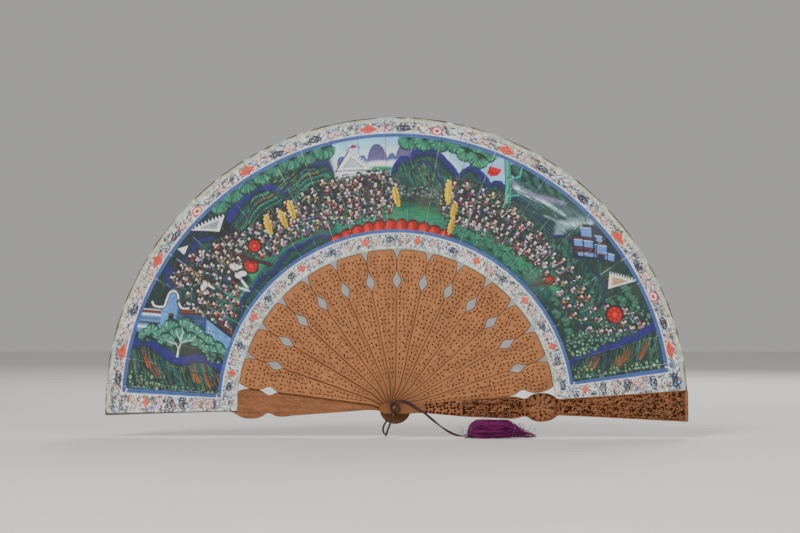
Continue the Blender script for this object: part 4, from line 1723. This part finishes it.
EDGE_BEVEL, EDGE_INSET = 0.34, 0.62
STICK_THICK = 1.0
STICK_BEHIND = 0.7  # from the back of a stick's glued panel to the stick's own back
WEB = (0.42, 0.52)  # the depths between which the wood is left in a slot
SLOT_POINTS = 10
CURVE_STEPS = 10
HEAD_CURVES = [(-14.5, 3.6, -11, 4.6, -6, 4.6)]
STICK_CURVES = HEAD_CURVES + [
    (4, 4.8, 10, 3.9, 20, 2.9), (24, 2.7, 30, 3.4), (43, 4.8), (95, 10.2),
    (103, 11.6, 109, 12, 112, 9.8), (116.5, 6.8, 120, 10.2),
    (124.5, 14.4, 137, 15.6, 144.6, 11.2),
]
FRONT_GUARD_CURVES = HEAD_CURVES + [
    (4, 4.8, 10, 5.2, 20, 4.2), (27, 4.5), (62, 7.9), (98, 9.9),
    (107, 10.6, 111, 10, 113, 9.2), (116.5, 7.6, 120, 8.8),
    (125.5, 14.8, 140.5, 14.8, 146.5, 8.2), (149, 7, 153, 7.6), (264.5, 14.4), (266, 14.4, 266, 12.8),
]
REAR_GUARD_CURVES = STICK_CURVES + [(150, 7, 156, 7.8), (264.5, 14.4), (266, 14.4, 266, 12.8)]


def half_outline(curves):
    """Points (r, half width) along one edge. A curve's last point is its end, and the ones
    before it pull it."""
    points = [np.array([-HEAD_REACH, 0.0])]
    for curve in curves:
        pulls = [points[-1]] + [np.array(p, float) for p in zip(curve[0::2], curve[1::2])]
        for t in np.linspace(0, 1, 2 if len(pulls) == 2 else CURVE_STEPS)[1:]:
            layer = pulls
            while len(layer) > 1:
                layer = [a + (b - a) * t for a, b in zip(layer[:-1], layer[1:])]
            points.append(layer[0])
    return np.array(points)


STICK_EDGE = half_outline(STICK_CURVES)
FRONT_GUARD_EDGE = half_outline(FRONT_GUARD_CURVES)
REAR_GUARD_EDGE = half_outline(REAR_GUARD_CURVES)


def turned(points, degrees):
    """Points laid out along +X turned about the rivet to a blade's angle."""
    p = np.asarray(points, float)
    a = math.radians(degrees)
    return np.stack([p[:, 0] * math.cos(a) - p[:, 2] * math.sin(a), p[:, 1],
                     p[:, 0] * math.sin(a) + p[:, 2] * math.cos(a)], 1)


def slot_loop(r, v, length, width, turn, bow=0.0):
    """A teardrop outline, clockwise, bent sideways by bow."""
    a = -np.linspace(0, 2 * np.pi, SLOT_POINTS, endpoint=False)
    x = np.cos(a) * length / 2
    y = np.sin(a) * width / 2 * (1 - 0.35 * np.cos(a)) + bow * (np.cos(a) ** 2 - 0.5)
    c, d = math.cos(math.radians(turn)), math.sin(math.radians(turn))
    return np.stack([r + x * c - y * d, v + x * d + y * c], 1)


def fret_slots(random):
    """The outlines of a stick's slots, set out in rough rows and kept clear of each other."""
    slots = []
    r = 29.0
    row = 0
    while r < 140.6:
        half = np.interp(r, STICK_EDGE[:, 0], STICK_EDGE[:, 1]) - 1.7
        near = r < 45
        count = max(round(2 * half / (2.4 if near else 3.6)), 1)
        for j in range(count):
            v = (j - (count - 1) / 2) * 2 * half / count
            side = 1 if (j + row) % 2 else -1
            if near:
                slot = slot_loop(r, v, 2.9, 0.95, 3 * side)
            else:
                long, turn = random.uniform(2.3, 3.7), side * random.uniform(5, 70)
                if (row // 2 + j) % 4 == 0:
                    long, turn = 1.9, 0
                slot = slot_loop(r + random.uniform(-0.6, 0.6) + 0.5 * (j % 2),
                                 v + random.uniform(-0.35, 0.35), long,
                                 random.uniform(1.15, 1.5), turn,
                                 bow=side * random.uniform(-0.2, 0.75) * (long > 2.6))
            close = [other for other in slots[-14:]
                     if np.hypot(*(slot[:, None] - other[None]).T).min() < 0.85]
            if not close:
                slots.append(slot)
        r += 4.0 if near else 3.6
        row += 1
    return slots


def stick_loop(inset):
    """A stick's whole outline, counter-clockwise, moved inwards."""
    tip = np.arange(4.25, -0.01, -0.85)
    arc = np.stack([LEAF_INNER * np.cos(np.radians(tip)), LEAF_INNER * np.sin(np.radians(tip))], 1)
    upper = np.concatenate([STICK_EDGE, arc])
    lower = upper[1:-1] * (1, -1)
    loop = np.concatenate([upper[:1], lower, upper[-1:], upper[1:-1][::-1]])
    ahead = np.roll(loop, -1, 0) - np.roll(loop, 1, 0)
    inwards = np.stack([-ahead[:, 1], ahead[:, 0]], 1)
    return loop + inset * inwards / np.linalg.norm(inwards, axis=1)[:, None]


def cut_sheet(outer, holes):
    """Triangles that fill an outline around its holes."""
    loops = [outer, *holes]
    points = [Vector(p) for loop in loops for p in loop]
    edges, owner, start = [], [], 0
    for index, loop in enumerate(loops):
        edges += [(start + i, start + (i + 1) % len(loop)) for i in range(len(loop))]
        owner += [index] * len(loop)
        start += len(loop)
    found = delaunay_2d_cdt(points, edges, [], 1, 1e-7)
    place = {new: old[0] for new, old in enumerate(found[3])}
    triangles = []
    for face in found[2]:
        corners = [place[i] for i in face]
        owners = {owner[i] for i in corners}
        if len(owners) == 1 and 0 not in owners:
            continue
        triangles.append(tuple(corners))
    return triangles


def make_stick(k, material, random):
    """A blade with a chamfered edge, its rib, and slots sunk from both sides to a thin web."""
    node = f"stick_{k:02d}"
    back = faces_y(f"leaf_panel_{k:02d}")[1] + STICK_BEHIND
    front = back - STICK_THICK
    slots = fret_slots(random)
    turn = -np.linspace(0, 2 * np.pi, 24, endpoint=False)
    pivot = PIVOT_HOLE * np.stack([np.cos(turn), np.sin(turn)], 1)
    inner, outer = stick_loop(EDGE_INSET), stick_loop(0.0)
    triangles = cut_sheet(inner, [pivot, *slots])
    flat = np.concatenate([inner, pivot, *slots])
    n, n_edge, n_hole = len(flat), len(outer), len(pivot)

    def level(points, y):
        return np.stack([points[:, 0], np.full(len(points), y), points[:, 1]], 1)

    cuts = np.concatenate(slots)
    layers = [level(flat, front), level(flat, back), level(outer, front + EDGE_BEVEL),
              level(outer, back - EDGE_BEVEL), level(cuts, front + WEB[0]),
              level(cuts, front + WEB[1])]
    starts = np.concatenate([[0], np.cumsum([len(layer) for layer in layers])])
    faces, dark = [], []

    def add(new, shade):
        faces.extend(new)
        dark.extend([shade] * len(new))

    add([t[::-1] for t in triangles], 0.0)
    add([tuple(i + n for i in t) for t in triangles], 0.0)

    def wall(a, b, count, shade):
        add([(a + i, b + i, b + (i + 1) % count, a + (i + 1) % count) for i in range(count)],
            shade)

    wall(0, starts[2], n_edge, 0.8)
    wall(starts[2], starts[3], n_edge, 1.0)
    wall(starts[3], n, n_edge, 0.8)
    wall(n_edge, n + n_edge, n_hole, 0.8)
    start = n_edge + n_hole
    deep = 0
    for slot in slots:
        count = len(slot)
        top, low, high = start + deep, starts[4] + deep, starts[5] + deep
        wall(top, low, count, 0.45)
        wall(high, top + n, count, 0.45)
        add([tuple(low + i for i in range(count))[::-1], tuple(high + i for i in range(count))],
            0.78)
        deep += count
    points = np.concatenate(layers)
    rib = [(RIB_START, -3.0), (RIB_END, -2.0), (RIB_END, 2.0), (RIB_START, 3.0)]
    corner = [(r, back - d, v) for d in (0.6, 0.2) for r, v in rib]
    base = len(points)
    points = np.concatenate([points, corner])
    add([(base + 3, base + 2, base + 1, base), (base + 4, base + 5, base + 6, base + 7)], 0.0)
    add([(base + i, base + (i + 1) % 4, base + 4 + (i + 1) % 4, base + 4 + i)
         for i in range(4)], 0.3)
    grain = np.stack([points[:, 0], points[:, 2], np.full(len(points), 17.3 * k)], 1)
    stick = make_object(f"fretted_{node}", turned(points, blade_deg(k)), faces, material, False)
    add_vectors(stick, "grain", grain)
    add_values(stick, "pit", np.repeat(dark, [len(face) for face in faces]), "CORNER")
    settle(stick, node, node)


# ---------------------------------------------------------------- guards

CARVE_STEP = 0.42


class Carving:
    """A blade's face as heights above a sunk ground, in millimetres, with r along the blade and
    v across it. Pits go further down, and dark."""

    def __init__(self, edge, deep, seed):
        self.r = np.arange(-HEAD_REACH, LEAF_OUTER + CARVE_STEP / 2, CARVE_STEP)
        self.r[-1] = LEAF_OUTER
        self.half = np.maximum(np.interp(self.r, edge[:, 0], edge[:, 1]), 0.06)
        columns = int(29 / CARVE_STEP)
        self.share = np.linspace(-1, 1, columns)
        self.R = np.broadcast_to(self.r[:, None], (len(self.r), columns))
        self.V = self.half[:, None] * self.share
        self.deep = deep
        self.height = np.zeros(self.R.shape)
        self.pits = np.zeros(self.R.shape)
        self.random = np.random.default_rng(seed)

    def rows(self, low, high):
        i0, i1 = np.searchsorted(self.r, (low, high))
        return slice(i0, max(i1, i0))

    def room(self, r, inset):
        """Half the blade's width at r, less an inset."""
        return np.interp(r, self.r, self.half) - inset

    def bump(self, r, v, length, width, turn, top, base=0.0):
        """A rounded leaf shape that rises from base to top."""
        w = self.rows(r - max(length, width) / 2, r + max(length, width) / 2)
        out = oval(self.R[w] - r, self.V[w] - v, length, width, turn)
        dome = np.sqrt(np.clip(1 - out ** 2, 0, 1))
        self.height[w] = np.maximum(self.height[w], np.where(dome > 0, base + (top - base) * dome, 0))

    def vein(self, points, width, top):
        """A rounded stem along a line."""
        p = np.asarray(points, float)
        w = self.rows(p[:, 0].min() - width, p[:, 0].max() + width)
        for a, b in zip(p[:-1], p[1:]):
            gap = along_line(a, b, self.R[w], self.V[w])[1]
            dome = np.sqrt(np.clip(1 - (gap / (width / 2)) ** 2, 0, 1))
            self.height[w] = np.maximum(self.height[w], top * dome)

    def pit(self, r, v, length, width, turn, cut=False):
        w = self.rows(r - max(length, width), r + max(length, width))
        inside = 1 - oval(self.R[w] - r, self.V[w] - v, length, width, turn)
        self.pits[w] = np.maximum(self.pits[w], np.clip(inside * 2.2 + 0.35, 0, 1))
        if cut:
            self.height[w] *= np.clip(0.4 - inside * 3, 0, 1)

    def smooth_to(self, low, high, level):
        """Uncarved wood at one level between two radii."""
        w = self.rows(low, high)
        self.height[w] = np.maximum(self.height[w], level)


def carve_lattice(c, low, high):
    """Rows of pits in threes, in wood left flat."""
    c.smooth_to(-HEAD_REACH - 1, high, c.deep)
    for i, r in enumerate(np.arange(low, high, 3.2)):
        half = c.room(r, 1.6)
        count = max(int(2 * half / 2.2) + 1, 2)
        for j in range(count):
            v = (j / (count - 1) - 0.5) * 2 * half
            if (i * 2 + j) % 4 == 3:
                continue
            c.pit(r + 0.7 * ((j + i) % 2), v, 2.1, 1.75, 40 * (-1) ** (i + j), True)


def carve_border(c, low, high, inset):
    """A raised rim with a beaded line inside it along both edges."""
    for r in np.arange(low, high, 1.5):
        half = np.interp(r, c.r, c.half)
        for side in (-1, 1):
            c.bump(r, side * (half - inset - 1.0), 1.25, 1.0, 0, c.deep * 0.72)
    w = c.rows(low, high)
    rim = c.half[w][:, None] - np.abs(c.V[w])
    c.height[w] = np.maximum(c.height[w], c.deep * np.clip((inset - rim) / 0.3, 0, 1))


def carve_foliage(c, low, high, inset, count):
    """Branches with leaves over a ground full of pits."""
    random = c.random
    for _ in range(count):
        r = random.uniform(low, high)
        half = max(c.room(r, inset), 1.0)
        c.pit(r, random.uniform(-half, half), random.uniform(1.5, 3.2), random.uniform(1.1, 1.9),
              random.uniform(0, 180))
    for _ in range(int(count / 9)):
        r = random.uniform(low, high)
        half = max(c.room(r, inset), 1.0)
        v = random.uniform(-half, half)
        points = [(r, v)]
        heading = random.uniform(-0.5, 0.5)
        for _ in range(5):
            heading += random.uniform(-0.6, 0.6)
            r, v = r + 1.9 * math.cos(heading), v + 1.9 * math.sin(heading)
            if r > high - 1 or abs(v) > half:
                break
            points.append((r, v))
        if len(points) > 1:
            c.vein(points, random.uniform(0.8, 1.3), c.deep * random.uniform(0.75, 0.95))
    for _ in range(int(count * 0.62)):
        r = random.uniform(low + 0.6, high - 0.6)
        half = max(c.room(r, inset), 1.0)
        v = random.uniform(-half, half)
        turn = random.uniform(0, 180)
        c.bump(r, v, random.uniform(2.0, 3.8), random.uniform(1.1, 1.9), turn,
               c.deep * random.uniform(0.55, 1.0))


def carve_halls(c, low, high):
    """Small halls: level roofs with upturned eaves over rows of posts."""
    random = c.random
    r = low + 2
    while r < high - 8:
        half = c.room(r, 1.8)
        wide = random.uniform(6, 9)
        for v in np.arange(-half + 1, half - 2.4, 4.4):
            c.vein([(r, v + 2.9), (r + wide, v + 2.9)], 1.1, c.deep)
            c.vein([(r - 0.6, v + 2.0), (r, v + 2.9)], 0.8, c.deep * 0.9)
            c.vein([(r + wide, v + 2.9), (r + wide + 0.6, v + 2.0)], 0.8, c.deep * 0.9)
            for x in np.arange(r + 0.8, r + wide, 1.9):
                c.vein([(x, v + 0.1), (x, v + 2.6)], 0.7, c.deep * 0.85)
                c.pit(x + 0.95, v + 1.4, 1.7, 0.8, 90)
        r += wide + random.uniform(2.2, 4.0)


def carve_rose(c, r, v, size):
    """An open flower: rings of cupped petals round a beaded heart."""
    for ring, (count, out, long, wide, top) in enumerate((
            (13, 0.42, 0.19, 0.16, 0.8), (11, 0.31, 0.19, 0.15, 0.9), (8, 0.2, 0.17, 0.14, 0.95),
            (5, 0.1, 0.15, 0.12, 1.0))):
        for i in range(count):
            a = 360 * (i + 0.5 * ring + c.random.uniform(-0.3, 0.3)) / count
            x, y = math.cos(math.radians(a)), math.sin(math.radians(a))
            c.bump(r + size * out * x, v + size * out * y, size * long, size * wide, a,
                   c.deep * top, c.deep * 0.15)
            if ring < 3:
                a2 = math.radians(a + 180 / count)
                c.pit(r + size * (out - 0.04) * math.cos(a2), v + size * (out - 0.04) *
                      math.sin(a2), 1.5, 1.1, math.degrees(a2) + 60, True)
    c.bump(r, v, size * 0.14, size * 0.14, 0, c.deep)


def carve_guard(edge, seed):
    c = Carving(edge, 0.95, seed)
    carve_lattice(c, 28, 60)
    c.pits[c.rows(-20, 27)] = 0
    carve_foliage(c, 61, 118, 1.5, 210)
    carve_halls(c, 63, 108)
    carve_border(c, 61, 112, 1.3)
    carve_foliage(c, 118, 148, 0.8, 60)
    carve_rose(c, 133, 0, 25)
    carve_foliage(c, 148, 262.5, 1.6, 660)
    carve_halls(c, 178, 214)
    carve_border(c, 148, 262.5, 1.0)
    c.smooth_to(263, LEAF_OUTER + 1, c.deep)
    for r in (60.5, 117.5, 148.5):
        c.vein([(r, -16), (r, 16)], 1.5, c.deep)
    rim = c.half[:, None] - np.abs(c.V)
    c.height = np.maximum(c.height, c.deep * np.clip((0.75 - rim) / 0.25, 0, 1))
    return c


def make_guard(name, node, degrees, edge, material, seed, carved_front):
    """A guard from two height fields joined at their rims, with the pivot hole cut out."""
    front, back = faces_y(node)
    c = carve_guard(edge, seed)
    shown = np.clip(c.pits - 1.2 * c.height / c.deep, 0, 1)
    sunk = (c.deep - c.height) + 0.75 * shown
    end = np.minimum(c.half[:, None] - np.abs(c.V), LEAF_OUTER - c.R)
    rounding = np.clip(1 - end / 0.5, 0, 1) ** 2
    sunk += 0.35 * rounding
    plain = 0.3 * rounding
    R, V = c.R.copy(), c.V.copy()
    gap = np.hypot(R, V)
    near = (gap > 1e-6) & (np.abs(gap - PIVOT_HOLE) < CARVE_STEP * 0.55)
    R[near], V[near] = (R * PIVOT_HOLE / gap)[near], (V * PIVOT_HOLE / gap)[near]

    def sides(carved, smooth):
        """The two sides' values, the front's first."""
        return (carved, smooth) if carved_front else (smooth, carved)

    before, behind = sides(sunk, plain)
    count, (rows, columns) = R.size, R.shape
    points = np.concatenate([np.stack([R, y, V], -1).reshape(-1, 3)
                             for y in (front + before, back - behind)])
    quads = grid_faces(rows, columns)
    centre = points[quads].mean(1)
    quads = quads[np.hypot(centre[:, 0], centre[:, 2]) > PIVOT_HOLE]
    edges = np.concatenate([quads[:, [i, (i + 1) % 4]] for i in range(4)])
    codes = edges[:, 0] * count + edges[:, 1]
    opposite = edges[:, 1] * count + edges[:, 0]
    rim = edges[~np.isin(codes, opposite)]
    walls = np.stack([rim[:, 1], rim[:, 0], rim[:, 0] + count, rim[:, 1] + count], 1)
    faces = np.concatenate([quads, quads[:, ::-1] + count, walls])
    used = np.unique(faces)
    renumber = np.zeros(2 * count, int)
    renumber[used] = np.arange(len(used))
    points, faces = points[used], renumber[faces]
    shade = shown + 0.5 * ((c.deep - c.height) / c.deep) ** 1.5
    dark = np.clip(np.concatenate(sides(shade.ravel(), np.zeros(count)))[used], 0, 1)
    guard = make_object(name, turned(points, degrees), faces.tolist(), material)
    add_vectors(guard, "grain", np.stack([points[:, 0], points[:, 2],
                                          np.full(len(points), seed * 3.7)], 1))
    add_values(guard, "pit", dark)
    settle(guard, "front_guard" if carved_front else "rear_guard", node)


stick_wood = wood("stick_wood", linear(138, 92, 56), linear(166, 118, 78), linear(178, 132, 90))
guard_wood = wood("guard_wood", linear(100, 60, 34), linear(142, 94, 58), linear(164, 114, 74))
slot_rng = np.random.default_rng(77)
for k in range(1, STICKS + 1):
    make_stick(k, stick_wood, slot_rng)
make_guard("carved_front_guard", "guard_front", blade_deg(0), FRONT_GUARD_EDGE, guard_wood, 5, True)
make_guard("carved_rear_guard", "guard_rear", blade_deg(STICKS + 1), REAR_GUARD_EDGE, guard_wood,
           9, False)

# ---------------------------------------------------------------- the ivory faces

FACE_RINGS = ((0.55, 0.85), (0.82, 0.5), (1.0, 0.0))
FACE_HIGH, FACE_SUNK = 0.2, 0.02  # a head's height, and how far its rim lies in the paper
FACE_SIDES = 12


def face_dome(s, r, long, wide):
    """A low oval dome on the leaf, its long axis towards the rivet. Returns its points' radii,
    angles and heights, its faces and how much each point is hair."""
    degrees = LEFT_DEG - s / DEG_MM
    turn = np.linspace(0, 2 * np.pi, FACE_SIDES, endpoint=False)
    out, aside, high, hair = [0.0], [0.0], [1.0], [0.0]
    for reach, rise in FACE_RINGS:
        out += list(reach * long / 2 * np.sin(turn))
        aside += list(reach * wide / 2 * np.cos(turn))
        high += [rise] * FACE_SIDES
        hair += list(np.clip((np.sin(turn) * reach - 0.36) * 5, 0, 1))
    radius = r + np.array(out)
    angle = degrees - np.degrees(np.array(aside) / radius)
    faces = [(0, 1 + (j + 1) % FACE_SIDES, 1 + j) for j in range(FACE_SIDES)]
    for ring in range(len(FACE_RINGS) - 1):
        a = 1 + ring * FACE_SIDES
        for j in range(FACE_SIDES):
            k = (j + 1) % FACE_SIDES
            faces.append((a + j, a + k, a + FACE_SIDES + k, a + FACE_SIDES + j))
    last = 1 + (len(FACE_RINGS) - 1) * FACE_SIDES
    faces.append(tuple(last + j for j in range(FACE_SIDES)))
    return radius, angle, FACE_HIGH * np.array(high) - FACE_SUNK, faces, np.array(hair)


def ivory(name):
    m = Nodes(name, 0.32)
    place = m.node("ShaderNodeTexCoord").outputs["Object"]
    mottle = m.noise(place, 700, 2)
    tint = m.ramp(mottle, [(0.3, linear(170, 146, 140)), (0.7, linear(212, 194, 186))])
    colour = m.mix(m.attribute("hair", "Fac"), tint, (0.012, 0.01, 0.012))
    return m.finish(colour, m.grey_ramp(mottle, [(0.3, 0.28), (0.7, 0.42)]), mottle, 0.02)


def make_faces(heads, material):
    """The figures' heads, one mesh for each panel of the leaf."""
    random = np.random.default_rng(41)
    panels = {}
    for s, r in heads:
        panels.setdefault(int(s // FACET_MM), []).append((s, r))
    for index, places in sorted(panels.items()):
        k = math.ceil(STICKS + 1 - index / 2)
        fold = index % 2 == 1
        start, end, before, after = panel_span(k, fold)
        parts, hairs, shares = [], [], []
        for s, r in places:
            long, wide = random.uniform(3.1, 3.9), random.uniform(2.3, 2.9)
            radius, angle, high, faces, hair = face_dome(s, r, long, wide)
            share = (angle - start) / (end - start)
            parts.append((polar(radius, angle, before + (after - before) * share - high), faces))
            hairs.append(hair)
            shares.append(share)
        name = f"leaf_{k:02d}_{'fold' if fold else 'glued'}_heads"
        piece = make_object(name, *join_parts(parts), material)
        add_values(piece, "hair", np.concatenate(hairs))
        bind(piece, k, fold)

make_faces(heads, ivory("ivory"))
make_floor()
make_lights()
